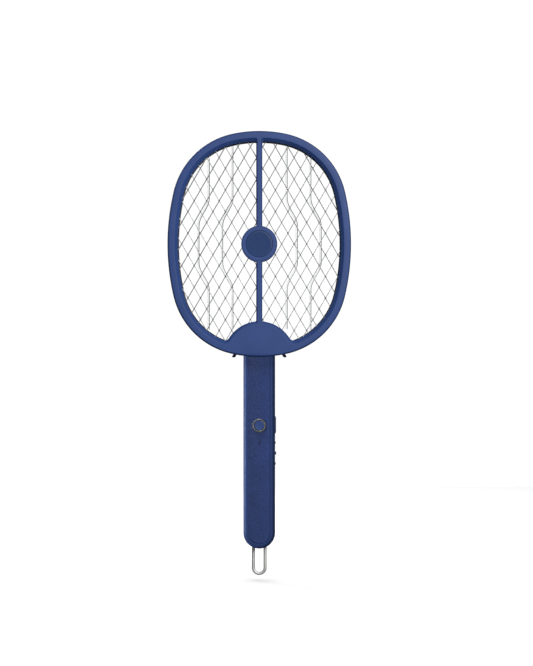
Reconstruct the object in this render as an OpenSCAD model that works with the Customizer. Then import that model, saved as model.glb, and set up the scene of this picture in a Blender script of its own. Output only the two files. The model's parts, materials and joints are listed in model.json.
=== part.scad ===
// Electric fly swatter: a folding three-layer mesh head on a battery handle.
// Axes: +X to the right, -Y towards the user's front, +Z up along the handle.
// The origin is the middle of the hand grip.

/* [Head] */
// Width of the head
head_w = 200; // [190:1:210]
// Height of the head
head_h = 246; // [236:1:256]
// Height of the head's lowest edge above the grip centre
head_base_z = 107.7; // [104:0.1:112]
// Radius of the outline's long sides
side_r = 250; // [220:1:300]
// Radius of the outline's top and bottom
top_r = 140; // [125:1:160]
// Radius of the outline's corners
corner_r = 84; // [78:1:88]
// Front face of the bezel
head_front_y = -16.3; // [-18:0.1:-16]
// Depth of the head from front to rear
head_depth = 24; // [22:0.5:28]
// Width of the bezel seen from the front
bezel_w = 11.4; // [10:0.1:14]
// Wall thickness of the head frames
frame_wall = 2.2; // [1.6:0.1:3]
// Width of the vertical rib
rib_w = 6.7; // [5:0.1:9]
// Diameter of the hub
hub_d = 39.3; // [34:0.1:46]
// Diameter of the textured disc in the hub
hub_disc_d = 29.4; // [24:0.1:32]
// Radius of the half-moon neck plate
moon_r = 38.8; // [36:0.1:42]

/* [Mesh] */
// Horizontal pitch of the diamonds
mesh_pitch_x = 13.65; // [10:0.05:18]
// Vertical pitch of the diamonds
mesh_pitch_z = 23.6; // [18:0.1:30]
// Diameter of the mesh strands
strand_d = 0.8; // [0.6:0.05:1]
// Width of a spacer rib
spacer_w = 2.6; // [2:0.1:4]

/* [Handle] */
// Width of the handle
grip_w = 34.6; // [32:0.1:38]
// Depth of the handle from front to back
grip_depth = 26; // [24:0.5:27]
// Height of the handle's lowest point
grip_low_z = -101.3; // [-104:0.1:-98]
// Wall thickness of the handle casing
grip_wall = 2.2; // [1.8:0.1:2.4]
// Half width of the inset grip panel
panel_half_w = 12; // [11:0.1:14]
// Thickness of the inset grip panel
panel_t = 1.2; // [0.8:0.1:1.6]

/* [Hinge] */
// Height of the fold axis
hinge_z = 121; // [119:0.5:123]
// Diameter of the hinge axle
axle_d = 6; // [5:0.5:7]
// Radial clearance of a running fit
running_gap = 0.06; // [0.02:0.01:0.1]

/* [Controls] */
// Height of the round front button
button_z = 33; // [30:1:38]
// Outer diameter of the metal button ring
button_ring_d = 14.3; // [12:0.1:16]
// Travel of the front button
button_travel = 1; // [0.6:0.1:1.2]
// Height of the side button's middle
side_button_z = 33.4; // [32:0.1:36]
// Length of the side button
side_button_len = 20.2; // [16:0.1:22]
// Travel of the side button
side_travel = 0.8; // [0.5:0.1:0.9]
// Height of the mode switch's middle position
mode_z = 2.5; // [0:0.1:5]
// Distance from the middle to each end position of the mode switch
mode_travel = 4; // [3:0.5:4.5]

/* [Hanging loop] */
// Diameter of the loop wire
loop_wire_d = 3.5; // [3:0.1:4]
// Distance of each leg's middle from the handle's middle
loop_leg_x = 6.35; // [6:0.05:7]
// Height of the loop's lowest point
loop_low_z = -131; // [-134:0.1:-126]
// Height of the pin the loop swings on
loop_pin_z = -86; // [-88:0.5:-85]

/* [Hidden] */
$fn = 96;
gap = 0.3;        // clearance between loose neighbours
fit = 0.05;       // clearance between assembled neighbours
eps = 0.1;        // overshoot of cutting tools

// Head levels
head_mid_z = head_base_z + head_h / 2;
head_half_w = head_w / 2;
head_half_h = head_h / 2;
head_rear_y = head_front_y + head_depth;
head_mid_y = head_front_y + head_depth / 2;
chamfer = 1.5;
lip_slope = 3.8;
lip_back = 6.8;                           // depth of the lip's back face behind the bezel face
lip_y = head_front_y + lip_back;

// Corner arc of the outline: its centre lies at fixed distances from the side and top arc centres
side_c = [head_half_w - side_r, 0];
top_c = [0, head_half_h - top_r];
corner_c = circle_meet(side_c, side_r - corner_r, top_c, top_r - corner_r);
side_end = atan2(corner_c[1] - side_c[1], corner_c[0] - side_c[0]);
top_start = atan2(corner_c[1] - top_c[1], corner_c[0] - top_c[0]);

// Layer stack, front to back: guard, spacer, grid, spacer, guard
strand_gap = 0.05;
layer_t = 2 * strand_d + strand_gap;
guard_y = lip_y + 0.05;
grid_y = head_mid_y - layer_t / 2;
rear_guard_y = head_mid_y + (head_mid_y - guard_y) - layer_t;
front_spacer = [guard_y + layer_t + fit, grid_y - fit];
rear_spacer = [grid_y + layer_t + fit, rear_guard_y - fit];
mesh_inset = 7.6;
carrier_inset = [7, 12.3];
carrier_bar_w = 3.2;
spacer_xs = [-55.5, -29.6, 29.6, 55.5];
hub_r = hub_d / 2;
hub_wall = 1.2;
lamp_r = hub_r - 3.5;
hub_drum_r = hub_r - 2.2;                 // drum inside the carriers' hub rings
mesh_hub_r = hub_r - 1.2;                // the strands end behind the hub's rim
mesh_moon_r = moon_r - 1.6;
mesh_origin = [4, 337.1];
strand_angle = atan2(mesh_pitch_z, mesh_pitch_x);
strand_pitch = mesh_pitch_x * sin(strand_angle);

// Neck
slot_half_w = grip_w / 2 + 0.5;
slot_top_z = hinge_z + grip_depth / 2 + 0.6;
moon_t = 2.5;
cheek_w = 8.5;
cheek_low = 8.5;                          // below and above the fold axis
cheek_high = 8;
cheek_back = 3.2;                         // from the rear face
axle_len = 2 * (slot_half_w + cheek_w) + 3;
axle_bore_d = 3;
knuckle_r = 10.4;
knuckle_block = [14, 8.6, 16];            // half width, half depth and drop below the axis
clip = [4.8, 0.8];                        // radius and thickness
washer = [5.4, 0.4];                      // radius and thickness
detent_r = 8;
detent_ball_d = 4;
groove_depth = 0.7;

// Handle
grip_edge_r = 3.7;
inner_half_w = grip_w / 2 - grip_wall;
inner_half_d = grip_depth / 2 - grip_wall;
grip_end_z = grip_low_z + grip_w / 2;
panel_top_z = 117;
shell_seam = 0.05;
board = [19.2, 1.6, 108];
board_y = -5.8;
board_low_z = -6;
board_back_y = board_y + board[1];
side_part_y = board_back_y + 1.65;
post_x = 12.3;
post_zs = [-30, 95];
post_r = 2.4;
screw_d = 1.9;
screw_head_r = 1.85;
counterbore = [2, 1.6];                   // radius and depth
battery_d = 18.4;
battery_len = 65;
battery_low_z = -79;
knob_len = 3.4;
port_z = 14;
port = [9.3, 3.6];                        // mouth of the charging port, long way and short way
button_gap_r = 5.7;                       // bore behind the button
ring_wall = 1.6;
button_r = button_ring_d / 2 - ring_wall - 0.15;
stem_r = 2.2;
indicator_holes = [[14, 0.8], [17.6, 0.6]];  // height and radius of each
surround_len = 22.8;
loop_swing = 25;                          // largest swing of the loop either way
loop_eye_r = 3.2;
loop_pin_r = 1.5;
bracket_x = 10.6;                         // middle of each bracket cheek
bracket_half_d = 4;

head_post_inset = 4.1;
head_post_r = 2.2;
head_post_angles = [18, 50, 78, 102, 130, 162, 198, 228, 312, 342];

// ---------- helpers: geometry ----------

// Upper right meeting point of two circles
function circle_meet(c1, r1, c2, r2) =
    let (d = norm(c2 - c1),
         u = (c2 - c1) / d,
         v = [-u[1], u[0]],
         s = (r1 * r1 - r2 * r2 + d * d) / (2 * d),
         h = sqrt(r1 * r1 - s * s),
         p = c1 + s * u + h * v,
         q = c1 + s * u - h * v)
    p[0] + p[1] > q[0] + q[1] ? p : q;

// Distance from the outline, positive inside, of a point given from the head's middle
function outline_depth(x, z) =
    let (px = abs(x),
         pz = abs(z),
         side_a = atan2(pz - side_c[1], px - side_c[0]),
         top_a = atan2(pz - top_c[1], px - top_c[0]))
    side_a < side_end ? side_r - norm([px, pz] - side_c)
    : top_a > top_start ? top_r - norm([px, pz] - top_c)
    : corner_r - norm([px, pz] - corner_c);

// Point at a given inset from the outline, in a direction seen from the head's middle
function outline_point(angle, inset, low = 0, high = 200, steps = 24) =
    let (mid = (low + high) / 2,
         inside = outline_depth(mid * cos(angle), mid * sin(angle)) > inset)
    steps == 0 ? [mid * cos(angle), mid * sin(angle)]
    : outline_point(angle, inset, inside ? mid : low, inside ? high : mid, steps - 1);

// True where the mesh runs: inside the carrier, outside the hub and the neck plate
function in_mesh(p) =
    outline_depth(p[0], p[1] - head_mid_z) > mesh_inset - 0.01
    && norm(p - [0, head_mid_z]) > mesh_hub_r - 0.01
    && norm(p - [0, head_base_z]) > mesh_moon_r - 0.01;

// Distance along a strand to the mesh edge
function strand_end(p, dir, low, high, steps = 22) =
    let (mid = (low + high) / 2,
         q = p + mid * dir,
         inside = outline_depth(q[0], q[1] - head_mid_z) > mesh_inset)
    steps == 0 ? low
    : strand_end(p, dir, inside ? mid : low, inside ? high : mid, steps - 1);

// Distances along a strand at which it enters and leaves a circle
function circle_cuts(p, dir, c, r) =
    let (b = (c - p) * dir,
         h2 = r * r - pow(norm(c - p), 2) + b * b)
    h2 > 0 ? [b - sqrt(h2), b + sqrt(h2)] : [];

function sorted(v) =
    len(v) < 2 ? v
    : concat(sorted([for (x = v) if (x < v[0]) x]), [for (x = v) if (x == v[0]) x],
             sorted([for (x = v) if (x > v[0]) x]));

// One quarter of the outline as [point, outward normal] pairs, from the side to the top
function quarter_arc(centre, radius, from, to, count) =
    [for (i = [0 : count - 1])
        let (a = from + (to - from) * i / count,
             u = [cos(a), sin(a)])
        [centre + radius * u, u]];

quarter = concat(quarter_arc(side_c, side_r, 0, side_end, 7),
                 quarter_arc(corner_c, corner_r, side_end, top_start, 14),
                 quarter_arc(top_c, top_r, top_start, 90, 4));

// The whole outline, turned quarter by quarter
function flip(pair, sx, sz) = [[sx * pair[0][0], sz * pair[0][1]], [sx * pair[1][0], sz * pair[1][1]]];
quarter_top = [[[0, head_half_h], [0, 1]]];
quarter_last = len(quarter) - 1;
outline = concat(quarter,
                 quarter_top,
                 [for (i = [quarter_last : -1 : 1]) flip(quarter[i], -1, 1)],
                 [for (i = [0 : quarter_last]) flip(quarter[i], -1, -1)],
                 [flip(quarter_top[0], 1, -1)],
                 [for (i = [quarter_last : -1 : 1]) flip(quarter[i], 1, -1)]);

// Closed band that follows the outline; its section is a list of [inset, y] points
module swept_outline(section) {
    n = len(outline);
    m = len(section);
    points = [for (o = outline, q = section)
              [o[0][0] - q[0] * o[1][0], q[1], o[0][1] - q[0] * o[1][1] + head_mid_z]];
    faces = [for (i = [0 : n - 1], j = [0 : m - 1])
             let (a = i * m, b = ((i + 1) % n) * m, k = (j + 1) % m)
             [a + j, a + k, b + k, b + j]];
    polyhedron(points = points, faces = faces, convexity = 6);
}

// Straight-sided disc or ring across the head's depth
module y_cylinder(r, y0, y1, x = 0, z = 0, r2 = undef) {
    translate([x, y0, z])
        rotate([-90, 0, 0])
            cylinder(r1 = r, r2 = r2 == undef ? r : r2, h = y1 - y0);
}

module y_ring(r_out, r_in, y0, y1, x = 0, z = 0) {
    difference() {
        y_cylinder(r_out, y0, y1, x, z);
        y_cylinder(r_in, y0 - eps, y1 + eps, x, z);
    }
}

module x_cylinder(r, x0, x1, y = 0, z = 0) {
    translate([x0, y, z])
        rotate([0, 90, 0])
            cylinder(r = r, h = x1 - x0);
}

module block(low, high) {
    translate(low)
        cube(high - low);
}

// Round wire through a list of points, with ball corners
module wire(points, d) {
    for (i = [0 : len(points) - 2]) {
        a = points[i];
        b = points[i + 1];
        v = b - a;
        translate(a)
            rotate([0, acos(v[2] / norm(v)), atan2(v[1], v[0])])
                cylinder(r = d / 2, h = norm(v), $fn = 16);
    }
    for (i = [1 : len(points) - 2])
        translate(points[i])
            sphere(r = d * 0.62, $fn = 24);
}

// ---------- head frames ----------

// Section of one half of the bezel: outer wall, face and sloped lip, as [inset, y] points
function bezel_section(face_y, into) =
    [[0, head_mid_y - into * shell_seam],
     [0, face_y + into * chamfer],
     [chamfer, face_y],
     [bezel_w - lip_slope, face_y],
     [bezel_w, face_y + into * lip_slope],
     [bezel_w, face_y + into * lip_back],
     [bezel_w - 2, face_y + into * lip_back],
     [bezel_w - 2, face_y + into * (lip_slope + 0.6)],
     [bezel_w - lip_slope - 0.7, face_y + into * frame_wall],
     [frame_wall, face_y + into * frame_wall],
     [frame_wall, head_mid_y - into * shell_seam]];

function reversed(v) = [for (i = [len(v) - 1 : -1 : 0]) v[i]];

// Rib bar with chamfered face, from the top of the head to the neck plate
module rib_bar(face_y, into) {
    depth = 4.2;
    bevel = 1;
    half = rib_w / 2;
    translate([0, 0, head_base_z + 25])
        linear_extrude(head_h - 32)
            polygon([[-half, face_y + into * depth],
                     [-half, face_y + into * bevel],
                     [bevel - half, face_y + into * 0.05],
                     [half - bevel, face_y + into * 0.05],
                     [half, face_y + into * bevel],
                     [half, face_y + into * depth]]);
}

// Screw posts along the frame wall
module at_head_posts() {
    for (angle = head_post_angles) {
        p = outline_point(angle, head_post_inset);
        translate([p[0], 0, p[1] + head_mid_z])
            children();
    }
}

// Half-moon plate with a sloped upper edge, kept inside the bezel's bottom arc
module moon_plate(face_y, into) {
    slope = 2.6;
    low_y = min(face_y + into * 0.02, face_y + into * moon_t);
    high_y = max(face_y + into * 0.02, face_y + into * moon_t);
    intersection() {
        if (into > 0)
            y_cylinder(moon_r - slope, low_y, high_y, 0, head_base_z, moon_r);
        else
            y_cylinder(moon_r, low_y, high_y, 0, head_base_z, moon_r - slope);
        y_cylinder(top_r - 3, low_y - eps, high_y + eps, 0, head_base_z + top_r);
    }
}

// Space that the handle's rounded top needs behind the neck plate, at rest and folded
module neck_slot() {
    block([-slot_half_w, head_front_y + moon_t, head_base_z - 10],
          [slot_half_w, head_rear_y + 5, slot_top_z]);
}

module front_frame() {
    color("#3e5183")
    difference() {
        union() {
            swept_outline(bezel_section(head_front_y, 1));
            difference() {
                rib_bar(head_front_y, 1);
                y_cylinder(hub_r - 1, head_front_y - 1, head_mid_y, 0, head_mid_z);
            }
            hub_front();
            moon_plate(head_front_y, 1);
            at_head_posts()
                y_cylinder(head_post_r, head_front_y + 1, head_mid_y - 0.2);
            neck_cheeks();
        }
        neck_slot();
        at_head_posts()
            y_cylinder(screw_d / 2 + fit, head_front_y + 4, head_mid_y + eps);
        x_cylinder(axle_d / 2, -axle_len, axle_len, 0, hinge_z);
        detent_groove();
    }
}

// Hub boss: rim with a recess for the disc, and a narrower drum that passes through the mesh
module hub_front() {
    difference() {
        union() {
            y_cylinder(hub_r - 1.2, head_front_y - 0.5, head_front_y + 0.7, 0, head_mid_z, hub_r);
            y_cylinder(hub_r, head_front_y + 0.7, lip_y, 0, head_mid_z);
            y_cylinder(hub_drum_r, lip_y - 1, head_mid_y - 0.2, 0, head_mid_z);
        }
        y_cylinder(hub_disc_d / 2, head_front_y - 1, head_front_y + 2.6, 0, head_mid_z);
        y_cylinder(hub_drum_r - hub_wall, head_front_y + 3.8, head_mid_y, 0, head_mid_z);
        y_cylinder(2.4, head_front_y, head_front_y + 5, 0, head_mid_z);
    }
}

// Two cheeks behind the neck plate that carry the axle
module neck_cheeks() {
    for (side = [-1, 1])
        mirror([side < 0 ? 1 : 0, 0, 0]) {
            block([slot_half_w, head_front_y + moon_t - 0.4, hinge_z - cheek_low],
                  [slot_half_w + cheek_w, head_rear_y - cheek_back, hinge_z + cheek_high]);
        }
}

// Ring groove in both walls of the neck that the detent ball runs in
module detent_groove() {
    for (side = [-1, 1])
        difference() {
            x_cylinder(detent_r + 1.4, side * slot_half_w - groove_depth,
                       side * slot_half_w + groove_depth, 0, hinge_z);
            x_cylinder(detent_r - 1.4, side * slot_half_w - 2, side * slot_half_w + 2, 0, hinge_z);
        }
}

module rear_frame() {
    color("#364976")
    difference() {
        union() {
            swept_outline(reversed(bezel_section(head_rear_y, -1)));
            difference() {
                rib_bar(head_rear_y, -1);
                y_cylinder(hub_r - 1, head_mid_y, head_rear_y + 1, 0, head_mid_z);
            }
            y_ring(hub_r, hub_drum_r - hub_wall, head_rear_y - lip_back, head_rear_y + 0.5,
                   0, head_mid_z);
            y_ring(hub_drum_r, hub_drum_r - hub_wall, head_mid_y, head_rear_y - lip_back + 1,
                   0, head_mid_z);
            moon_plate(head_rear_y, -1);
            at_head_posts()
                y_cylinder(head_post_r, head_mid_y, head_rear_y - 1);
            for (side = [0, 1])
                mirror([side, 0, 0])
                    hook();
        }
        neck_slot();
        at_head_posts() {
            y_cylinder(screw_d / 2 + 0.15, head_mid_y - eps, head_rear_y + 1);
            y_cylinder(counterbore[0], head_rear_y - counterbore[1], head_rear_y + 1);
        }
        neck_relief();
        detent_groove();
    }
}

// The rear frame leaves room for the cheeks of the front frame
module neck_relief() {
    for (side = [-1, 1])
        mirror([side < 0 ? 1 : 0, 0, 0])
            block([slot_half_w - 1, head_mid_y - 1, hinge_z - cheek_low - gap],
                  [slot_half_w + cheek_w + 2.2, head_rear_y - cheek_back + gap,
                   hinge_z + cheek_high + gap]);
}

// Small curled hook below the rear frame
module hook() {
    hook_t = 1.8;
    translate([26.2, head_rear_y - 7, 0])
        rotate([-90, 0, 0])
            linear_extrude(5)
                mirror([0, 1])
                    hook_outline(hook_t);
}

// Outline of the hook: a short stem that turns outwards, drawn from the frame's lower edge
module hook_outline(t) {
    root_z = head_base_z + 5;
    tip_z = head_base_z - 0.4;
    bend_r = 2.2;
    translate([-t / 2, tip_z + bend_r])
        square([t, root_z - tip_z - bend_r]);
    translate([bend_r - t / 2 + 0.02, tip_z + bend_r + 0.02])
        intersection() {
            difference() {
                circle(r = bend_r);
                circle(r = bend_r - t);
            }
            translate([-bend_r - 1, -bend_r - 1])
                square([bend_r + 2.4, bend_r + 1.1]);
        }
}

// ---------- layers ----------

// One family of parallel strands at a slope, cut at the carrier, hub and neck
module strands(slope_sign, y) {
    dir = [slope_sign * cos(strand_angle), sin(strand_angle)];
    across = [sin(strand_angle), -slope_sign * cos(strand_angle)];
    hub_c = [0, head_mid_z];
    offset0 = (mesh_origin - hub_c) * across;
    for (i = [-16 : 16]) {
        shift = offset0 + i * strand_pitch;
        p = hub_c + shift * across;
        foot = nearest_inside(p, dir);
        if (foot != undef) {
            ends = [foot + strand_end(p + foot * dir, dir, 0, 300),
                    foot - strand_end(p + foot * dir, -dir, 0, 300)];
            cuts = sorted(concat(ends, circle_cuts(p, dir, hub_c, mesh_hub_r),
                                 circle_cuts(p, dir, [0, head_base_z], mesh_moon_r)));
            for (k = [0 : len(cuts) - 2])
                strand_piece(p, dir, cuts[k], cuts[k + 1], y);
        }
    }
}

// First distance along a line at which it is inside the outline
function nearest_inside(p, dir) =
    let (found = [for (t = [0, -20, 20, -40, 40, -60, 60])
                  let (q = p + t * dir)
                  if (outline_depth(q[0], q[1] - head_mid_z) > mesh_inset + 1) t])
    len(found) > 0 ? found[0] : undef;

module strand_piece(p, dir, t0, t1, y) {
    mid = p + (t0 + t1) / 2 * dir;
    if (t1 - t0 > 4 && in_mesh(mid))
        translate([p[0] + t0 * dir[0], y, p[1] + t0 * dir[1]])
            rotate([0, atan2(dir[0], dir[1]), 0])
                cylinder(r = strand_d / 2, h = t1 - t0, $fn = 24);
}

// A diamond lattice: two strand levels welded at their crossings
module lattice(front_y) {
    strands(1, front_y + strand_d / 2);
    strands(-1, front_y + strand_d * 1.5 + strand_gap);
}

module front_guard_mesh() {
    color("#9a9da0")
        lattice(guard_y);
}

module high_voltage_grid() {
    color("#8d9093")
        lattice(grid_y);
}

module rear_guard_mesh() {
    color("#9a9da0")
        lattice(rear_guard_y);
}

// Insulating ring with a centre bar and a hub ring, between two strand layers
module carrier(y0, y1) {
    inner = carrier_inset[1];
    outer = carrier_inset[0];
    swept_outline([[outer, y0], [inner, y0], [inner, y1], [outer, y1]]);
    bar_half = carrier_bar_w / 2;
    block([-bar_half, y0, head_mid_z + hub_r - 1],
          [bar_half, y1, head_mid_z + head_half_h - carrier_inset[1] + 1]);
    block([-bar_half, y0, head_base_z + moon_r - 1.5],
          [bar_half, y1, head_mid_z - hub_r + 1]);
    y_ring(hub_r - 0.3, hub_drum_r + 0.15, y0, y1, 0, head_mid_z);
    intersection() {
        y_ring(moon_r - 0.5, moon_r - 3.4, y0, y1, 0, head_base_z);
        block([-moon_r, y0 - eps, head_base_z + 12], [moon_r, y1 + eps, head_base_z + moon_r]);
    }
}

// The carriers leave the neck free for the handle
module carrier_in_head(y0, y1) {
    difference() {
        carrier(y0, y1);
        block([-slot_half_w - 0.3, y0 - eps, head_base_z - 5],
              [slot_half_w + 0.3, y1 + eps, slot_top_z]);
        block([-slot_half_w - cheek_w - 2.5, y0 - eps, head_base_z - 5],
              [slot_half_w + cheek_w + 2.5, y1 + eps, hinge_z + cheek_high + 2 * gap]);
    }
}

module front_carrier() {
    color("#20242c")
        carrier_in_head(front_spacer[0], front_spacer[1]);
}

module rear_carrier() {
    color("#20242c")
        carrier_in_head(rear_spacer[0], rear_spacer[1]);
}

// Sideways shift of a spacer rib: straight at the ends, bowed out round the hub
function bow(z) =
    let (far = 50, near = 20, amount = 11.2, d = abs(z))
    d <= near ? amount
    : d >= far ? 0
    : amount * (1 + cos(180 * (d - near) / (far - near))) / 2;

// One wavy rib from the carrier at the bottom to the carrier at the top
module spacer_rib(x, y0, y1) {
    low = -outline_reach(x);
    high = outline_reach(x);
    count = 40;
    zs = [for (i = [0 : count]) low + (high - low) * i / count];
    translate([0, y0, head_mid_z])
        rotate([90, 0, 0])
            mirror([0, 0, 1])
                linear_extrude(y1 - y0)
                    polygon(concat([for (z = zs) [x + sign(x) * bow(z) - spacer_w / 2, z]],
                                   [for (i = [count : -1 : 0])
                                    [x + sign(x) * bow(zs[i]) + spacer_w / 2, zs[i]]]));
}

// Height above the head's middle at which a vertical line at x meets the carrier
function outline_reach(x, low = 0, high = 130, steps = 22) =
    let (mid = (low + high) / 2)
    steps == 0 ? low
    : outline_depth(abs(x) + spacer_w / 2, mid) > carrier_inset[1] + gap
      ? outline_reach(x, mid, high, steps - 1)
      : outline_reach(x, low, mid, steps - 1);

module spacer_ribs(y0, y1) {
    for (x = spacer_xs)
        difference() {
            spacer_rib(x, y0, y1);
            y_cylinder(moon_r + 3, y0 - eps, y1 + eps, 0, head_base_z);
        }
}

module front_spacer_ribs() {
    color("#d8dcdd")
        spacer_ribs(front_spacer[0], front_spacer[1]);
}

module rear_spacer_ribs() {
    color("#d8dcdd")
        spacer_ribs(rear_spacer[0], rear_spacer[1]);
}

// ---------- hub ----------

module hub_disc() {
    color("#253c6b")
    union() {
        y_cylinder(hub_disc_d / 2 - 0.1, head_front_y + 0.5, head_front_y + 2.5, 0, head_mid_z);
        y_cylinder(2.2, head_front_y + 2.4, head_front_y + 4.6, 0, head_mid_z);
    }
}

module lamp_board() {
    color("#1d5b3a")
        y_ring(lamp_r, 2.6, head_mid_y + 1, head_mid_y + 2.6, 0, head_mid_z);
}

module lamp_leds() {
    color("#e9e6f4")
    for (i = [0 : 5])
        rotate_about_hub(60 * i)
            union() {
                block([8, head_mid_y + 2.65, head_mid_z - 1.75],
                      [11.5, head_mid_y + 3.8, head_mid_z + 1.75]);
                y_cylinder(1.3, head_mid_y + 3.7, head_mid_y + 4.3, 9.75, head_mid_z);
            }
}

module rotate_about_hub(angle) {
    translate([0, 0, head_mid_z])
        rotate([0, angle, 0])
            translate([0, 0, -head_mid_z])
                children();
}

module lamp_lens() {
    color("#b9a8e0")
    difference() {
        union() {
            y_cylinder(lamp_r, head_rear_y - 5, head_rear_y - 0.4, 0, head_mid_z);
            y_cylinder(lamp_r, head_rear_y - 0.4, head_rear_y + 0.8, 0, head_mid_z, lamp_r - 2);
        }
        y_cylinder(lamp_r - 1.7, head_rear_y - 5 - eps, head_rear_y - 1.2, 0, head_mid_z);
    }
}

module head_screws() {
    color("#8a8d90")
    at_head_posts()
        screw(head_mid_y - 6, head_rear_y);
}

// Screw from its tip to just below the face it is sunk in
module screw(tip_y, face_y) {
    head_t = 1.2;
    top_y = face_y - 0.35;
    difference() {
        union() {
            y_cylinder(screw_d / 2, tip_y, top_y - head_t + eps);
            y_cylinder(screw_head_r, top_y - head_t, top_y);
        }
        cross_recess(top_y - 0.7, 1);
    }
}

// Cross slot cut into a screw head whose face looks along +Y
module cross_recess(y, h) {
    for (turn = [0, 90])
        rotate([0, turn, 0])
            block([-1.1, y, -0.22], [1.1, y + h, 0.22]);
}

// ---------- hinge ----------

module hinge_axle() {
    color("#b8bbbd")
    difference() {
        x_cylinder(axle_d / 2, -axle_len / 2, axle_len / 2, 0, hinge_z);
        x_cylinder(axle_bore_d / 2, -axle_len, axle_len, 0, hinge_z);
    }
}

module axle_clips() {
    color("#7d8082")
    for (side = [-1, 1])
        translate([side * (slot_half_w + cheek_w + 0.15 + clip[1] / 2), 0, 0])
            difference() {
                x_cylinder(clip[0], -clip[1] / 2, clip[1] / 2, 0, hinge_z);
                x_cylinder(axle_d / 2 + 0.01, -1, 1, 0, hinge_z);
            }
}

module friction_washers() {
    color("#e4e0d2")
    for (side = [-1, 1])
        translate([side * (slot_half_w - fit - washer[1] / 2), 0, 0])
            difference() {
                x_cylinder(washer[0], -washer[1] / 2, washer[1] / 2, 0, hinge_z);
                x_cylinder(axle_d / 2 + 0.03, -1, 1, 0, hinge_z);
            }
}

module hinge_knuckle() {
    half = slot_half_w - 0.6;
    color("#2b2f38")
    difference() {
        union() {
            x_cylinder(knuckle_r, -half, half, 0, hinge_z);
            block([-knuckle_block[0], -knuckle_block[1], hinge_z - knuckle_block[2]],
                  [knuckle_block[0], knuckle_block[1], hinge_z - 4]);
        }
        x_cylinder(axle_d / 2 + running_gap, -half - 1, half + 1, 0, hinge_z);
        x_cylinder(detent_ball_d / 2 + 0.1, half - 9, half + 1, detent_r, hinge_z);
        x_cylinder(washer[0] + 0.2, half - 0.15, half + 1, 0, hinge_z);
        x_cylinder(washer[0] + 0.2, -half - 1, 0.15 - half, 0, hinge_z);
        for (side = [-1, 1])
            translate([side * 7, 0, hinge_z - 17])
                cylinder(r = 1.6, h = 18);
    }
}

module detent_ball() {
    color("#c9ccce")
    translate([slot_half_w + groove_depth - 0.3 - detent_ball_d / 2, detent_r, hinge_z])
        sphere(r = detent_ball_d / 2);
}

// Close-wound spring drawn as separate turns behind the ball
module detent_spring() {
    spring_end = slot_half_w + groove_depth - 0.3 - detent_ball_d;
    color("#a7aaac")
    for (i = [0 : 3])
        translate([spring_end - 0.45 - i * 1.05, detent_r, hinge_z])
            rotate([0, 90, 0])
                rotate_extrude($fn = 32)
                    translate([1.45, 0])
                        circle(r = 0.28, $fn = 16);
}

// ---------- handle casing ----------

// Section of the handle, seen from above, with rounded edges
module grip_section(inset) {
    half_w = grip_w / 2 - inset;
    half_d = grip_depth / 2 - inset;
    r = grip_edge_r - inset / 2;
    square([2 * half_w, 2 * (half_d - r)], center = true);
    square([2 * (half_w - r), 2 * half_d], center = true);
    for (sx = [-1, 1], sy = [-1, 1])
        translate([sx * (half_w - r), sy * (half_d - r)])
            circle(r = r, $fn = 48);
}

// Handle solid: rounded section, lower end turned about the Y axis, top rounded about the fold axis
module grip_solid(inset) {
    half_w = grip_w / 2 - inset;
    intersection() {
        union() {
            translate([0, 0, grip_end_z])
                linear_extrude(hinge_z - grip_end_z + 20)
                    grip_section(inset);
            translate([0, 0, grip_end_z])
                rotate([90, 0, 0])
                    rotate([0, 0, 180])
                        rotate_extrude(angle = 180, $fn = 160)
                            intersection() {
                                grip_section(inset);
                                translate([0, -grip_depth])
                                    square([half_w + 1, 2 * grip_depth]);
                            }
        }
        union() {
            x_cylinder(grip_depth / 2 - inset + 0.01, -20, 20, 0, hinge_z);
            block([-20, -20, grip_low_z - 5], [20, 20, hinge_z]);
        }
    }
}

module grip_casing() {
    difference() {
        grip_solid(0);
        grip_solid(grip_wall);
        x_cylinder(knuckle_r + 0.15, -20, 20, 0, hinge_z);
        loop_slots();
    }
}

// Slots in the handle's end that let both loop legs swing
module loop_slots() {
    slot_y = (loop_pin_z - grip_low_z) * tan(loop_swing) + loop_wire_d / 2 / cos(loop_swing) + gap;
    for (side = [-1, 1])
        block([side * loop_leg_x - loop_wire_d / 2 - 0.35, -slot_y, grip_low_z - 5],
              [side * loop_leg_x + loop_wire_d / 2 + 0.35, slot_y, loop_pin_z - 6]);
}

// Outline of the inset panel: straight sides with a round lower end
module panel_outline(half_w, y0, y1) {
    y_cylinder(half_w, y0, y1, 0, grip_end_z);
    block([-half_w, y0, grip_end_z], [half_w, y1, panel_top_z]);
}

module handle_front_shell() {
    front = -grip_depth / 2;
    color("#3a4c7f")
    difference() {
        union() {
            intersection() {
                grip_casing();
                block([-20, -20, grip_low_z - 5], [20, -shell_seam, hinge_z + 20]);
            }
            // Floor under the inset panel
            intersection() {
                panel_outline(panel_half_w + 1, front + 0.6, front + panel_t + 1.6);
                grip_solid(0.5);
            }
            front_posts();
            for (end = [-1, 1])
                surround_end(end);
        }
        panel_outline(panel_half_w, front - 1, front + panel_t);
        y_cylinder(button_ring_d / 2 + fit, front - 1, front + 2.1, 0, button_z);
        y_cylinder(button_gap_r, front - 1, front + 6, 0, button_z);
        for (hole = indicator_holes)
            y_cylinder(hole[1] + fit, front - 1, front + 6, 0, hole[0]);
        side_openings();
        socket_opening();
    }
}

module front_posts() {
    for (side = [-1, 1], z = post_zs)
        difference() {
            y_cylinder(post_r, -inner_half_d - 0.5, -0.2, side * post_x, z);
            y_cylinder(screw_d / 2 + fit, -inner_half_d + 1, 1, side * post_x, z);
        }
}

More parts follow.
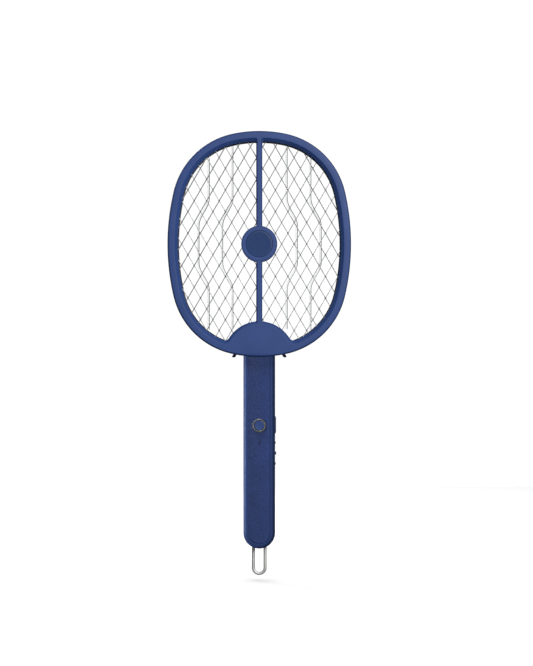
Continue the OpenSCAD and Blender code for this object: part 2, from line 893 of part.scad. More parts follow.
// Openings in the right side for the side button and the mode switch
module side_openings() {
    block([inner_half_w - 1, side_part_y - 3.2, side_button_z - side_button_len / 2 - 0.2],
          [grip_w / 2 + 1, side_part_y + 3.2, side_button_z + side_button_len / 2 + 0.2]);
    block([inner_half_w - 1, side_part_y - 1.5, mode_z - mode_travel - knob_len / 2 - 0.4],
          [grip_w / 2 + 1, side_part_y + 1.5, mode_z + mode_travel + knob_len / 2 + 0.4]);
}

// Stadium mouth of the charging port in the left side
module socket_opening() {
    port_block(port, -grip_w / 2 - 1, -inner_half_w + 1);
}

module port_block(size, x0, x1) {
    r = size[1] / 2;
    reach = size[0] / 2 - r;
    for (side = [-1, 1])
        x_cylinder(r, x0, x1, side_part_y, port_z + side * reach);
    block([x0, side_part_y - r, port_z - reach], [x1, side_part_y + r, port_z + reach]);
}

module handle_rear_shell() {
    color("#324372")
    difference() {
        union() {
            intersection() {
                grip_casing();
                block([-20, shell_seam, grip_low_z - 5], [20, 20, hinge_z + 20]);
            }
            for (side = [-1, 1], z = post_zs)
                y_cylinder(post_r, 0.2, inner_half_d + 0.5, side * post_x, z);
        }
        for (side = [-1, 1], z = post_zs) {
            y_cylinder(screw_d / 2 + 0.15, -1, 20, side * post_x, z);
            y_cylinder(counterbore[0], grip_depth / 2 - counterbore[1], 20, side * post_x, z);
        }
        side_openings();
    }
}

module grip_panel() {
    front = -grip_depth / 2;
    color("#34497c")
    difference() {
        panel_outline(panel_half_w - 0.1, front - 0.15, front + panel_t - fit);
        y_cylinder(button_ring_d / 2 + fit, front - 2, front + 6, 0, button_z);
        for (hole = indicator_holes)
            y_cylinder(hole[1] + fit, front - 2, front + 6, 0, hole[0]);
    }
}

module handle_screws() {
    color("#8a8d90")
    for (side = [-1, 1], z = post_zs)
        translate([side * post_x, 0, z])
            screw(-7, grip_depth / 2);
}

// ---------- electronics ----------

module main_board() {
    color("#1d5b3a")
    block([-board[0] / 2, board_y, board_low_z],
          [board[0] / 2, board_back_y, board_low_z + board[2]]);
}

module hv_transformer() {
    y0 = board_back_y + fit;
    color("#c9a23a")
    union() {
        block([-7, y0, 62], [7, y0 + 2.5, 78]);
        block([-5, y0 + 2.4, 64.5], [5, y0 + 9, 75.5]);
        block([-7, y0 + 8.9, 62], [7, y0 + 11.4, 78]);
    }
}

module hv_capacitor() {
    y0 = board_back_y + fit;
    color("#8c3b26")
    block([-7.5, y0, 81], [7.5, y0 + 9, 88]);
}

module multiplier_diodes() {
    y0 = board_back_y + fit;
    color("#22262c")
    for (i = [0 : 2])
        x_cylinder(1.4, -3, 3, y0 + 1.45, 92 + 3.4 * i);
}

module drive_transistor() {
    y0 = board_back_y + fit;
    color("#22262c")
    union() {
        block([-3.2, y0, 50], [3.2, y0 + 2.3, 56]);
        block([-2.7, y0, 55.9], [2.7, y0 + 0.8, 58.5]);
    }
}

module battery_cell() {
    color("#3f7f66")
    union() {
        translate([0, 0, battery_low_z])
            cylinder(r = battery_d / 2, h = battery_len - 1);
        translate([0, 0, battery_low_z + battery_len - 1.1])
            cylinder(r = 3, h = 1.1);
    }
}

module battery_contacts() {
    top_z = battery_low_z + battery_len;
    color("#c2b48a")
    union() {
        block([-6, -4, top_z + fit], [6, 4, top_z + 0.5]);
        block([-3, -4.4, top_z + 0.2], [3, -3.9, top_z + 6]);
        block([-6, -4, battery_low_z - 0.55], [6, 4, battery_low_z - fit]);
    }
}

module battery_leads() {
    top_z = battery_low_z + battery_len;
    color("#b03030")
        wire([[1.8, -4.95, top_z + 4], [1.8, -5, board_low_z - 0.6]], 1);
    color("#202020")
        wire([[5, 3, battery_low_z - 1.2], [9.2, 6.5, battery_low_z - 1.2], [9.2, 6.5, -16],
              [7.5, -3.5, -7]], 1);
}

// Two leads from the board to the fold axle
module output_leads() {
    color("#b03030")
        wire([[7, -3.6, 98.5], [7, -1, 104], [7, -0.6, hinge_z - 4.2]], 1.1);
    color("#202020")
        wire([[-7, -3.6, 98.5], [-7, -1, 104], [-7, -0.6, hinge_z - 4.2]], 1.1);
}

// Two leads from the axle's ends up to the carriers, behind the neck plate
module grid_leads() {
    out_x = axle_len / 2 + 1.1;
    color("#b03030")
        grid_lead(out_x);
    color("#202020")
        mirror([1, 0, 0])
            grid_lead(out_x);
}

module grid_lead(out_x) {
    wire([[out_x - 9, 0, hinge_z], [out_x, 0, hinge_z + 0.5], [out_x + 0.4, 0.6, hinge_z + 8]], 1.1);
}

module charge_socket() {
    color("#b4b7ba")
    difference() {
        port_block([8.94, 3.2], -16.6, -6.8);
        port_block([8.34, 2.6], -17.6, -7.8);
    }
}

// ---------- controls ----------

module button_ring() {
    front = -grip_depth / 2;
    color("#8f918c")
    difference() {
        y_cylinder(button_ring_d / 2, front - 0.45, front + 2, 0, button_z);
        y_cylinder(button_ring_d / 2 - ring_wall, front - 2, front + 3, 0, button_z);
    }
}

module front_button() {
    front = -grip_depth / 2;
    color("#42548c")
    union() {
        y_cylinder(button_r, front - 0.3, front + 1.9, 0, button_z);
        y_cylinder(stem_r, front + 1.8, front + 2.8, 0, button_z);
    }
}

module front_tact_switch() {
    color("#2a2d31")
    union() {
        block([-3, board_y - 3.2, button_z - 3], [3, board_y - fit, button_z + 3]);
        y_cylinder(1.7, -grip_depth / 2 + 2.9 + button_travel, board_y - 3.1, 0, button_z);
    }
}

module side_button() {
    root_x = inner_half_w + 0.1;
    face_x = grip_w / 2 + 1.1;
    half = side_button_len / 2;
    color("#263a6a")
    union() {
        translate([0, side_part_y - 3, side_button_z])
            rotate([-90, 0, 0])
                linear_extrude(6)
                    polygon([[root_x, -half], [grip_w / 2 - 0.1, -half], [face_x, 1.8 - half],
                             [face_x, half - 1.8], [grip_w / 2 - 0.1, half], [root_x, half]]);
        x_cylinder(1.6, root_x - 1.3, root_x + 0.1, side_part_y, side_button_z);
    }
}

module side_tact_switch() {
    tip_x = inner_half_w - 1.3 - side_travel;
    color("#2a2d31")
    union() {
        block([7.2, board_back_y + fit, side_button_z - 3], [11, board_back_y + 4.2, side_button_z + 3]);
        x_cylinder(1.2, 10.9, tip_x, side_part_y, side_button_z);
    }
}

module slide_switch_body() {
    color("#b4b7ba")
    difference() {
        block([7.2, board_back_y + fit, mode_z - 7.5], [12.8, board_back_y + 4, mode_z + 7.5]);
        block([11.6, side_part_y - 1.2, mode_z - 6.6], [13, side_part_y + 1.2, mode_z + 6.6]);
    }
}

// Low bump at each end of the switch's slide path
module surround_end(end) {
    z = mode_z + end * surround_len / 2;
    translate([grip_w / 2, side_part_y - 1.8, z])
        rotate([-90, 0, 0])
            linear_extrude(3.6)
                polygon([[-0.6, -1.5], [0, -1.5], [0.7, -0.7], [0.7, 0.7], [0, 1.5], [-0.6, 1.5]]);
}

module mode_switch_knob() {
    half = knob_len / 2;
    tip_x = grip_w / 2 + 1.4;
    ridge_pitch = 1.2;
    ridge_w = 0.7;
    color("#263a6a")
    union() {
        block([11.9, side_part_y - 0.9, mode_z - 1.4], [15.2, side_part_y + 0.9, mode_z + 1.4]);
        block([15.1, side_part_y - 1.3, mode_z - half], [tip_x - 0.5, side_part_y + 1.3, mode_z + half]);
        for (i = [-1 : 1])
            block([tip_x - 0.6, side_part_y - 1.3, mode_z + i * ridge_pitch - ridge_w / 2],
                  [tip_x, side_part_y + 1.3, mode_z + i * ridge_pitch + ridge_w / 2]);
    }
}

module indicator_light_pipes() {
    front = -grip_depth / 2;
    color("#dfe6ea")
    for (hole = indicator_holes)
        y_cylinder(hole[1], front + 0.2, board_y - 1.3, 0, hole[0]);
}

module indicator_leds() {
    color("#f0ead8")
    for (hole = indicator_holes)
        block([-0.8, board_y - 1.2, hole[0] - 0.8], [0.8, board_y - fit, hole[0] + 0.8]);
}

// ---------- hanging loop ----------

module loop_bracket() {
    cheek_t = 2.4;
    half_w = bracket_x + cheek_t / 2;
    bridge_z = loop_pin_z + loop_eye_r + 0.4;
    color("#2b2f38")
    difference() {
        union() {
            for (side = [-1, 1])
                block([side * bracket_x - cheek_t / 2, -bracket_half_d, loop_pin_z - loop_eye_r],
                      [side * bracket_x + cheek_t / 2, bracket_half_d, bridge_z + 0.6]);
            block([-half_w, -bracket_half_d, bridge_z], [half_w, bracket_half_d, bridge_z + 1.4]);
        }
        x_cylinder(loop_pin_r, -20, 20, 0, loop_pin_z);
    }
}

module loop_pin() {
    color("#b8bbbd")
        x_cylinder(loop_pin_r, -12, 12, 0, loop_pin_z);
}

module hanging_loop() {
    bend_z = loop_low_z + loop_wire_d / 2 + loop_leg_x;
    color("#b4b7ba")
    difference() {
        union() {
            for (side = [-1, 1]) {
                translate([side * loop_leg_x, 0, bend_z])
                    cylinder(r = loop_wire_d / 2, h = loop_pin_z - 2.2 - bend_z, $fn = 48);
                x_cylinder(loop_eye_r, side * loop_leg_x - 1.7, side * loop_leg_x + 1.7, 0, loop_pin_z);
            }
            translate([0, 0, bend_z])
                rotate([90, 0, 0])
                    rotate([0, 0, 180])
                        rotate_extrude(angle = 180, $fn = 96)
                            translate([loop_leg_x, 0])
                                circle(r = loop_wire_d / 2, $fn = 48);
        }
        x_cylinder(loop_pin_r + running_gap, -20, 20, 0, loop_pin_z);
    }
}

front_frame();
rear_frame();
front_guard_mesh();
high_voltage_grid();
rear_guard_mesh();
front_carrier();
rear_carrier();
front_spacer_ribs();
rear_spacer_ribs();
hub_disc();
lamp_board();
lamp_leds();
lamp_lens();
head_screws();
hinge_axle();
axle_clips();
friction_washers();
grid_leads();
handle_front_shell();
handle_rear_shell();
grip_panel();
hinge_knuckle();
detent_ball();
detent_spring();
main_board();
hv_transformer();
hv_capacitor();
multiplier_diodes();
drive_transistor();
battery_cell();
battery_contacts();
battery_leads();
output_leads();
charge_socket();
button_ring();
front_tact_switch();
side_tact_switch();
slide_switch_body();
indicator_light_pipes();
indicator_leds();
handle_screws();
loop_bracket();
loop_pin();
front_button();
side_button();
mode_switch_knob();
hanging_loop();
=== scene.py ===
"""Looks of the electric fly swatter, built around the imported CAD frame. Sizes are in millimetres."""

import json
import math

import bmesh
import bpy
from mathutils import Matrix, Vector, noise
from mathutils.geometry import tessellate_polygon

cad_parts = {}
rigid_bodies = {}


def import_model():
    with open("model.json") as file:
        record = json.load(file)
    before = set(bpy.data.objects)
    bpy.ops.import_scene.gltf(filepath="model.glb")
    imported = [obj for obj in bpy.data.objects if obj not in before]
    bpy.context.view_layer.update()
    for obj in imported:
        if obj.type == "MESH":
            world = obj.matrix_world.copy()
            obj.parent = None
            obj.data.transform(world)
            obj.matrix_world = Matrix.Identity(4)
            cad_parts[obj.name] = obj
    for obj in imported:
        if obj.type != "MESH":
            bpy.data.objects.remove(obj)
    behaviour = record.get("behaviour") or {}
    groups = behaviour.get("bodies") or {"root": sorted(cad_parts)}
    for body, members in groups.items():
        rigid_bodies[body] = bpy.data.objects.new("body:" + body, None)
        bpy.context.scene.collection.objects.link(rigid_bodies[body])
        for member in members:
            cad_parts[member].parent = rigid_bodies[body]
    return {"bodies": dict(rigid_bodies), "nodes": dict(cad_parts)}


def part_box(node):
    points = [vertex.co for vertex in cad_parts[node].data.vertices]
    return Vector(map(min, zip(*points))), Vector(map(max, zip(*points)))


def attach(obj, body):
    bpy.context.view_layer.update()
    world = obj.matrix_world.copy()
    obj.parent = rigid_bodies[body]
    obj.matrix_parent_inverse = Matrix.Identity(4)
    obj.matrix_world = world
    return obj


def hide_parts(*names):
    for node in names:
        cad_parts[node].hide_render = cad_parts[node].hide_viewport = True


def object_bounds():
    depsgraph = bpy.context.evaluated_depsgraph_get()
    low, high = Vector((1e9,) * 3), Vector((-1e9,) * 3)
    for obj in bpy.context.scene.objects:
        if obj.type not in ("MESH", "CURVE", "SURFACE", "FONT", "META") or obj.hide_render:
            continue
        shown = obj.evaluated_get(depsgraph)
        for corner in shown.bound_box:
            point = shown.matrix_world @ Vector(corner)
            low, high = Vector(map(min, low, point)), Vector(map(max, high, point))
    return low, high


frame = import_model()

MM = 0.001
cad_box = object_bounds()
scene = bpy.context.scene
scene.view_settings.view_transform = "Standard"


def cad_limits(node):
    """Lowest and highest corner of a CAD node, in millimetres."""
    low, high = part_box(node)
    return low / MM, high / MM


# ---------- driving sizes, the same as in the CAD ----------

head_high = cad_limits("rear_frame")[1]
grip_low = cad_limits("handle_rear_shell")[0]
ring_low, ring_high = cad_limits("button_ring")
HALF_W = head_high.x                      # half width of the head
HALF_H = 123.0                            # half height of the head
MID_Z = head_high.z - HALF_H              # height of the head's middle
BASE_Z = MID_Z - HALF_H                   # lowest point of the head's outline
FRONT_Y = -16.3                           # face of the front frame
REAR_Y = 7.7                              # face of the rear frame
MID_Y = (FRONT_Y + REAR_Y) / 2            # parting plane of the two frames
SIDE_R, CORNER_R, TOP_R = 250.0, 84.0, 140.0
BEZEL = 11.4                              # width of the bezel
LIP_SLOPE = 3.8                           # width and depth of the bezel's inner slope
LIP_BACK = 6.8                            # depth of the bezel's lip
RIB_HALF = 3.35                           # half width of the vertical rib
HUB_R = 19.65                             # ring round the disc
DISC_R = 14.7                             # seat of the disc
DRUM_R, DRUM_WALL = 17.45, 1.2            # drum inside the carriers' hub rings
HUB_FLOOR = 1.2                           # wall behind the disc
MOON_R = 38.8                             # half-moon plate above the neck
SLOT_HALF = 17.8                          # half width of the neck slot
SLOT_TOP = 134.6
AXLE_Z = 121.0                            # the head's fold
AXLE_BORE_R = 3.0
CHEEK_W = 8.5                             # cheeks that carry the axle, beside the slot
CHEEK_LOW, CHEEK_HIGH = 8.5, 8.0          # their reach below and above the axle
CHEEK_BACK = 3.2                          # from the rear face to the cheeks
SCREW_BORE_R, SCREW_BORE_DEPTH = 2.0, 1.6
GRIP_HALF_W = 17.3
GRIP_END_Z = grip_low.z + GRIP_HALF_W     # centre of the handle's round lower end
PANEL_HALF = 11.9                         # half width of the leather-grain panel
BUTTON_Z = (ring_low.z + ring_high.z) / 2
SWITCH_Y = -2.55                          # middle of the side controls
STRAND_R = 0.4                            # radius of the mesh's strands

SIDE_C = Vector((HALF_W - SIDE_R, 0))
TOP_C = Vector((0, HALF_H - TOP_R))
MOON_C = Vector((0, -HALF_H))


def circles_meet(c1, r1, c2, r2):
    """Both meeting points of two circles."""
    d = (c2 - c1).length
    u = (c2 - c1) / d
    s = (r1 * r1 - r2 * r2 + d * d) / (2 * d)
    h = math.sqrt(r1 * r1 - s * s)
    across = Vector((-u.y, u.x))
    return c1 + s * u + h * across, c1 + s * u - h * across


CORNER_C = max(circles_meet(SIDE_C, SIDE_R - CORNER_R, TOP_C, TOP_R - CORNER_R),
               key=lambda p: p.x + p.y)
SIDE_END = math.degrees(math.atan2(CORNER_C.y - SIDE_C.y, CORNER_C.x - SIDE_C.x))
TOP_START = math.degrees(math.atan2(CORNER_C.y - TOP_C.y, CORNER_C.x - TOP_C.x))


def arc(centre, radius, start, end, count):
    """Points from start to end in degrees, without the end point."""
    angles = [math.radians(start + (end - start) * i / count) for i in range(count)]
    return [centre + radius * Vector((math.cos(a), math.sin(a))) for a in angles]


def line(start, end, count):
    return [start.lerp(end, i / count) for i in range(count)]


def angle_to(origin, target):
    return math.degrees(math.atan2(target.y - origin.y, target.x - origin.x))


# ---------- meshes ----------

def make_object(name, verts, faces):
    """A mesh object from millimetre points; faces are lists of indices."""
    mesh = bpy.data.meshes.new(name)
    mesh.from_pydata([Vector(v) * MM for v in verts], [], faces)
    bm = bmesh.new()
    bm.from_mesh(mesh)
    bmesh.ops.remove_doubles(bm, verts=bm.verts, dist=1e-6)
    bmesh.ops.recalc_face_normals(bm, faces=bm.faces)
    bm.to_mesh(mesh)
    bm.free()
    obj = bpy.data.objects.new(name, mesh)
    scene.collection.objects.link(obj)
    return obj


def from_bmesh(name, bm):
    bm.verts.index_update()
    verts = [tuple(v.co) for v in bm.verts]
    faces = [[v.index for v in f.verts] for f in bm.faces]
    bm.free()
    return make_object(name, verts, faces)


def shade(obj, angle=32):
    """Smooth shading with edges sharper than the angle kept."""
    mesh = obj.data
    mesh.polygons.foreach_set("use_smooth", [True] * len(mesh.polygons))
    mesh.set_sharp_from_angle(angle=math.radians(angle))


def evaluated(obj):
    """Bakes the object's modifiers into its mesh."""
    depsgraph = bpy.context.evaluated_depsgraph_get()
    result = bpy.data.meshes.new_from_object(obj.evaluated_get(depsgraph))
    obj.modifiers.clear()
    result.name = obj.name
    obj.data = result


def keep_flats(obj):
    """Large flat faces set the shading of the rounded edges beside them."""
    modifier = obj.modifiers.new("flats", "WEIGHTED_NORMAL")
    modifier.weight = 90
    modifier.keep_sharp = True
    evaluated(obj)


def joined(tools):
    """One mesh object from several that don't touch."""
    bm = bmesh.new()
    for tool in tools:
        bm.from_mesh(tool.data)
    bm.to_mesh(tools[0].data)
    bm.free()
    for tool in tools[1:]:
        bpy.data.objects.remove(tool)
    return tools[0]


def combine(obj, tools, operation="DIFFERENCE"):
    """Joins separate tools to obj or cuts them away, and removes them."""
    tool = joined(tools)
    modifier = obj.modifiers.new("combine", "BOOLEAN")
    modifier.object = tool
    modifier.operation = operation
    modifier.solver = "EXACT"
    evaluated(obj)
    bpy.data.objects.remove(tool)


def place(obj, materials, body, slot, *nodes):
    """Gives a piece its materials, parents it to the body it rides on and hides the CAD nodes it stands
    for.
    """
    for material in materials:
        obj.data.materials.append(material)
    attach(obj, body)
    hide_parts(*nodes)


def finish(obj, body, slot, node, angle=32):
    """Smooth shading, one material, and its place in the frame."""
    shade(obj, angle)
    place(obj, [MATERIALS[slot]], body, slot, node)


def box(name, low, high, bevel=0.0, segments=3):
    """A block with rounded edges."""
    bm = bmesh.new()
    bmesh.ops.create_cube(bm, size=1)
    for v in bm.verts:
        v.co = Vector([(low[i] + high[i]) / 2 + v.co[i] * (high[i] - low[i]) for i in range(3)])
    if bevel:
        bmesh.ops.bevel(bm, geom=bm.edges[:], offset=bevel, segments=segments, profile=0.5,
                        affect="EDGES", clamp_overlap=True)
    return from_bmesh(name, bm)


def rounded(points, radius, segments=3):
    """An open polyline with its inner corners rounded."""
    out = [Vector(points[0])]
    for before, here, after in zip(points, points[1:], points[2:]):
        here = Vector(here)
        back, ahead = Vector(before) - here, Vector(after) - here
        reach = min(radius, back.length * 0.45, ahead.length * 0.45)
        start, end = here + back.normalized() * reach, here + ahead.normalized() * reach
        for i in range(segments + 1):
            t = i / segments
            out.append(start.lerp(here, t).lerp(here.lerp(end, t), t))
    out.append(Vector(points[-1]))
    return out


def lathe(name, profile, centre, axis="Y", segments=96):
    """A closed body turned about an axis; profile is a list of (radius, place along the axis)."""
    verts, faces = [], []
    count = len(profile)
    for i in range(segments):
        a = 2 * math.pi * i / segments
        for r, t in profile:
            across, up = r * math.cos(a), r * math.sin(a)
            point = (across, t, up) if axis == "Y" else (t, across, up)
            verts.append((point[0] + centre[0], point[1] + centre[1], point[2] + centre[2]))
    for i in range(segments):
        k = (i + 1) % segments
        for j in range(count - 1):
            faces.append([i * count + j, i * count + j + 1, k * count + j + 1, k * count + j])
        if profile[0][0] > 0 or profile[-1][0] > 0:
            faces.append([i * count + count - 1, i * count, k * count, k * count + count - 1])
    return tidy_lathe(make_object(name, verts, faces))


def tidy_lathe(obj):
    """Removes faces that the axis has pinched to nothing."""
    bm = bmesh.new()
    bm.from_mesh(obj.data)
    bmesh.ops.dissolve_degenerate(bm, edges=bm.edges, dist=1e-7)
    bmesh.ops.recalc_face_normals(bm, faces=bm.faces)
    bm.to_mesh(obj.data)
    bm.free()
    return obj


def extrude(name, outline, y0, y1, bevel=0.0, segments=2):
    """A flat outline of (x, z) points made solid from y0 to y1, with rounded rims."""
    bm = bmesh.new()
    front = [bm.verts.new((x, y0, z)) for x, z in outline]
    face = bm.faces.new(front)
    moved = bmesh.ops.extrude_face_region(bm, geom=[face])
    for v in moved["geom"]:
        if isinstance(v, bmesh.types.BMVert):
            v.co.y = y1
    bmesh.ops.recalc_face_normals(bm, faces=bm.faces)
    if bevel:
        rims = [e for e in bm.edges if abs(e.verts[0].co.y - e.verts[1].co.y) < 1e-6]
        bmesh.ops.bevel(bm, geom=rims, offset=bevel, segments=segments, profile=0.5,
                        affect="EDGES", clamp_overlap=True)
    return from_bmesh(name, bm)


def add_skin(faces, start, rings, sides, turn=-1):
    """Adds the walls and both caps of a row of equal rings; turn is the first cap's winding."""
    for i in range(rings - 1):
        for k in range(sides):
            a, b = start + i * sides + k, start + i * sides + (k + 1) % sides
            faces.append([a, b, b + sides, a + sides])
    faces.append([start + k for k in range(sides)][::turn])
    faces.append([start + (rings - 1) * sides + k for k in range(sides)])


def tube(verts, faces, path, radius, sides=8):
    """Adds a round capped tube along a path to the lists."""
    start = len(verts)
    for i, p in enumerate(path):
        ahead = path[min(i + 1, len(path) - 1)] - path[max(i - 1, 0)]
        ahead.normalize()
        side = ahead.cross(Vector((0, 1, 0))).normalized()
        other = side.cross(ahead)
        for k in range(sides):
            a = 2 * math.pi * k / sides
            verts.append(p + radius * (math.cos(a) * side + math.sin(a) * other))
    add_skin(faces, start, len(path), sides)


# ---------- materials ----------

class Nodes:
    """Helpers for one node tree."""

    def __init__(self, tree):
        self.nodes, self.links = tree.nodes, tree.links

    def spread(self, source, low, high, start, end):
        node = self.nodes.new("ShaderNodeMapRange")
        for key, value in (("From Min", low), ("From Max", high), ("To Min", start), ("To Max", end)):
            node.inputs[key].default_value = value
        self.links.new(source, node.inputs["Value"])
        return node.outputs["Result"]

    def ramp(self, source, stops):
        """Colours along a 0 to 1 source."""
        node = self.nodes.new("ShaderNodeValToRGB")
        elements = node.color_ramp.elements
        while len(elements) < len(stops):
            elements.new(0.5)
        for element, (position, colour) in zip(elements, stops):
            element.position = position
            element.color = (*colour, 1)
        self.links.new(source, node.inputs["Fac"])
        return node.outputs["Color"]


class Shader(Nodes):
    """A Principled material whose nodes read the piece's own coordinates."""

    def __init__(self, name):
        self.material = bpy.data.materials.new(name)
        self.material.use_nodes = True
        super().__init__(self.material.node_tree)
        self.bsdf = self.nodes["Principled BSDF"]
        self.place = self.nodes.new("ShaderNodeTexCoord").outputs["Object"]

    def set(self, **values):
        for key, value in values.items():
            self.bsdf.inputs[key.replace("_", " ")].default_value = value
        return self

    def stretched(self, scale):
        mapping = self.nodes.new("ShaderNodeMapping")
        mapping.inputs["Scale"].default_value = scale
        self.links.new(self.place, mapping.inputs["Vector"])
        return mapping.outputs["Vector"]

    def noise(self, size, detail=3.0, rough=0.55, stretch=None):
        """Noise whose features are about size millimetres wide."""
        node = self.nodes.new("ShaderNodeTexNoise")
        node.inputs["Scale"].default_value = 1 / (size * MM)
        node.inputs["Detail"].default_value = detail
        node.inputs["Roughness"].default_value = rough
        self.links.new(self.stretched(stretch) if stretch else self.place, node.inputs["Vector"])
        return node.outputs["Fac"]

    def cells(self, size, feature="F1"):
        node = self.nodes.new("ShaderNodeTexVoronoi")
        node.feature = feature
        node.inputs["Scale"].default_value = 1 / (size * MM)
        self.links.new(self.place, node.inputs["Vector"])
        return node.outputs["Distance"]

    def bands(self, size, direction):
        """Straight stripes, one every size millimetres."""
        node = self.nodes.new("ShaderNodeTexWave")
        node.bands_direction = direction
        node.inputs["Scale"].default_value = 0.314 / (size * MM)
        node.inputs["Distortion"].default_value = 0.4
        self.links.new(self.place, node.inputs["Vector"])
        return node.outputs["Fac"]

    def attribute(self, name):
        node = self.nodes.new("ShaderNodeAttribute")
        node.attribute_name = name
        return node.outputs["Fac"]

    def edges(self, low, high):
        """0 on flats and 1 on outer edges."""
        pointed = self.nodes.new("ShaderNodeNewGeometry").outputs["Pointiness"]
        return self.spread(pointed, low, high, 0, 1)

    def mix(self, factor, first, second, amount=1.0, blend="MIX"):
        """Mixes a colour socket with a colour or a second socket."""
        node = self.nodes.new("ShaderNodeMix")
        node.data_type = "RGBA"
        node.blend_type = blend
        if factor is None:
            node.inputs["Factor"].default_value = amount
        else:
            self.links.new(self.spread(factor, 0, 1, 0, amount), node.inputs["Factor"])
        self.links.new(first, node.inputs["A"])
        if isinstance(second, tuple):
            node.inputs["B"].default_value = (*second, 1)
        else:
            self.links.new(second, node.inputs["B"])
        return node.outputs["Result"]

    def steepness(self):
        """0 on faces square to the Y axis, 1 on the steep outer walls."""
        split = self.nodes.new("ShaderNodeSeparateXYZ")
        self.links.new(self.nodes.new("ShaderNodeTexCoord").outputs["Normal"], split.inputs["Vector"])
        size = self.nodes.new("ShaderNodeMath")
        size.operation = "ABSOLUTE"
        self.links.new(split.outputs["Y"], size.inputs[0])
        return self.spread(size.outputs["Value"], 0.45, 0.68, 1, 0)

    def colour(self, socket):
        self.links.new(socket, self.bsdf.inputs["Base Color"])
        return self

    def roughness(self, source, low, high):
        self.links.new(self.spread(source, 0.25, 0.75, low, high), self.bsdf.inputs["Roughness"])
        return self

    def bump(self, layers):
        """Layers are (height socket, depth in millimetres, strength)."""
        normal = None
        for height, depth, strength in layers:
            node = self.nodes.new("ShaderNodeBump")
            node.inputs["Distance"].default_value = depth * MM
            node.inputs["Strength"].default_value = strength
            self.links.new(height, node.inputs["Height"])
            if normal:
                self.links.new(normal, node.inputs["Normal"])
            normal = node.outputs["Normal"]
        self.links.new(normal, self.bsdf.inputs["Normal"])
        return self


def shade_of(colour, factor):
    return tuple(min(c * factor, 1) for c in colour)


def moulded(name, colour, grain, depth, rough, edge_highlight=0.25, specular=0.22, walls=1.0):
    """Moulded plastic: fine spark texture, slow tone drift, a faint painted highlight on the outer edges,
    and painted shade on the steep walls when walls is below 1.
    """
    s = Shader(name)
    drift = s.ramp(s.noise(38, 2), [(0.32, shade_of(colour, 0.9)), (0.68, shade_of(colour, 1.08))])
    speck = s.noise(grain, 2)
    tone = s.mix(speck, drift, shade_of(colour, 0.72), 0.3)
    # painted highlight: outer edges lightened where the mesh is pointed
    tone = s.mix(s.edges(0.53, 0.62), tone, shade_of(colour, 1.7), edge_highlight)
    # painted shade: steep walls darkened towards walls times the colour
    if walls < 1:
        tone = s.mix(s.steepness(), tone, shade_of(colour, walls), 0.9)
    s.colour(tone)
    s.roughness(s.noise(9, 3), *rough)
    s.bump([(speck, depth, 0.35), (s.noise(grain * 9, 2), depth * 1.6, 0.15)])
    s.set(Specular_IOR_Level=specular)
    return s.material


def steel(name, colour, rough, stretch, size):
    """Drawn or turned metal: long scratches, stains and brighter edges."""
    s = Shader(name)
    scratch = s.noise(size, 2, 0.6, stretch)
    stain = s.noise(5, 3)
    tone = s.ramp(stain, [(0.3, shade_of(colour, 0.82)), (0.7, shade_of(colour, 1.08))])
    tone = s.mix(scratch, tone, shade_of(colour, 0.66), 0.35)
    s.colour(s.mix(s.edges(0.52, 0.6), tone, shade_of(colour, 1.3), 0.3))
    s.roughness(stain, *rough)
    s.bump([(scratch, 0.02, 0.25)])
    s.set(Metallic=1.0)
    return s.material


def leather(name, colour):
    """Embossed grip skin: pebbles kept in the mesh as the grain attribute, painted shade in the grain's
    creases with a faint painted highlight on the pebble tops, fine creases on top.
    """
    s = Shader(name)
    grain = s.attribute("grain")
    drift = s.ramp(s.noise(22, 3), [(0.3, shade_of(colour, 0.88)), (0.7, shade_of(colour, 1.12))])
    # painted shade: creases darkened and pebble tops lightened a little from the grain attribute
    crease_shade = s.ramp(grain, [(0.0, (0.38, 0.4, 0.46)), (0.45, (0.9, 0.9, 0.9)),
                            (1.0, (1.12, 1.12, 1.1))])
    tone = s.mix(None, drift, crease_shade, 1.0, "MULTIPLY")
    creases = s.cells(0.5, "DISTANCE_TO_EDGE")
    s.colour(s.mix(s.noise(0.3, 2), tone, shade_of(colour, 0.7), 0.2))
    s.links.new(s.spread(grain, 0.1, 0.9, 0.58, 0.36), s.bsdf.inputs["Roughness"])
    s.bump([(creases, 0.05, 0.4), (s.noise(0.22, 2), 0.03, 0.35)])
    s.set(Specular_IOR_Level=0.5)
    return s.material


def clear_plastic(name, tint, rough, transmission):
    """Clear moulded plastic with flow haze and small scratches."""
    s = Shader(name)
    haze = s.noise(3.5, 3)
    s.colour(s.ramp(haze, [(0.3, shade_of(tint, 0.86)), (0.7, tint)]))
    s.roughness(haze, rough * 0.6, rough * 1.6)
    s.bump([(s.noise(0.6, 2), 0.03, 0.3)])
    s.set(Transmission_Weight=transmission, IOR=1.49)
    return s.material


def glow_lens(name, colour):
    """Tinted diffusing lens with a pattern of small prisms."""
    s = Shader(name)
    haze = s.noise(6, 3)
    s.colour(s.ramp(haze, [(0.3, shade_of(colour, 0.85)), (0.7, shade_of(colour, 1.1))]))
    s.roughness(haze, 0.18, 0.32)
    s.bump([(s.cells(1.4), 0.15, 0.5), (s.noise(0.4, 2), 0.02, 0.3)])
    s.set(Transmission_Weight=0.35, IOR=1.5, Subsurface_Weight=0.2)
    return s.material


def circuit_board(name, colour):
    """Solder mask with traces and pads."""
    s = Shader(name)
    traces = s.spread(s.bands(1.3, "X"), 0.62, 0.7, 0, 1)
    pads = s.spread(s.cells(2.4), 0.16, 0.2, 1, 0)
    tone = s.ramp(s.noise(7, 3), [(0.3, shade_of(colour, 0.8)), (0.7, shade_of(colour, 1.15))])
    tone = s.mix(traces, tone, shade_of(colour, 1.7), 0.6)
    s.colour(s.mix(pads, tone, (0.62, 0.6, 0.55), 0.8))
    s.roughness(s.noise(2, 2), 0.3, 0.45)
    s.bump([(traces, 0.05, 0.5), (pads, 0.08, 0.5)])
    return s.material


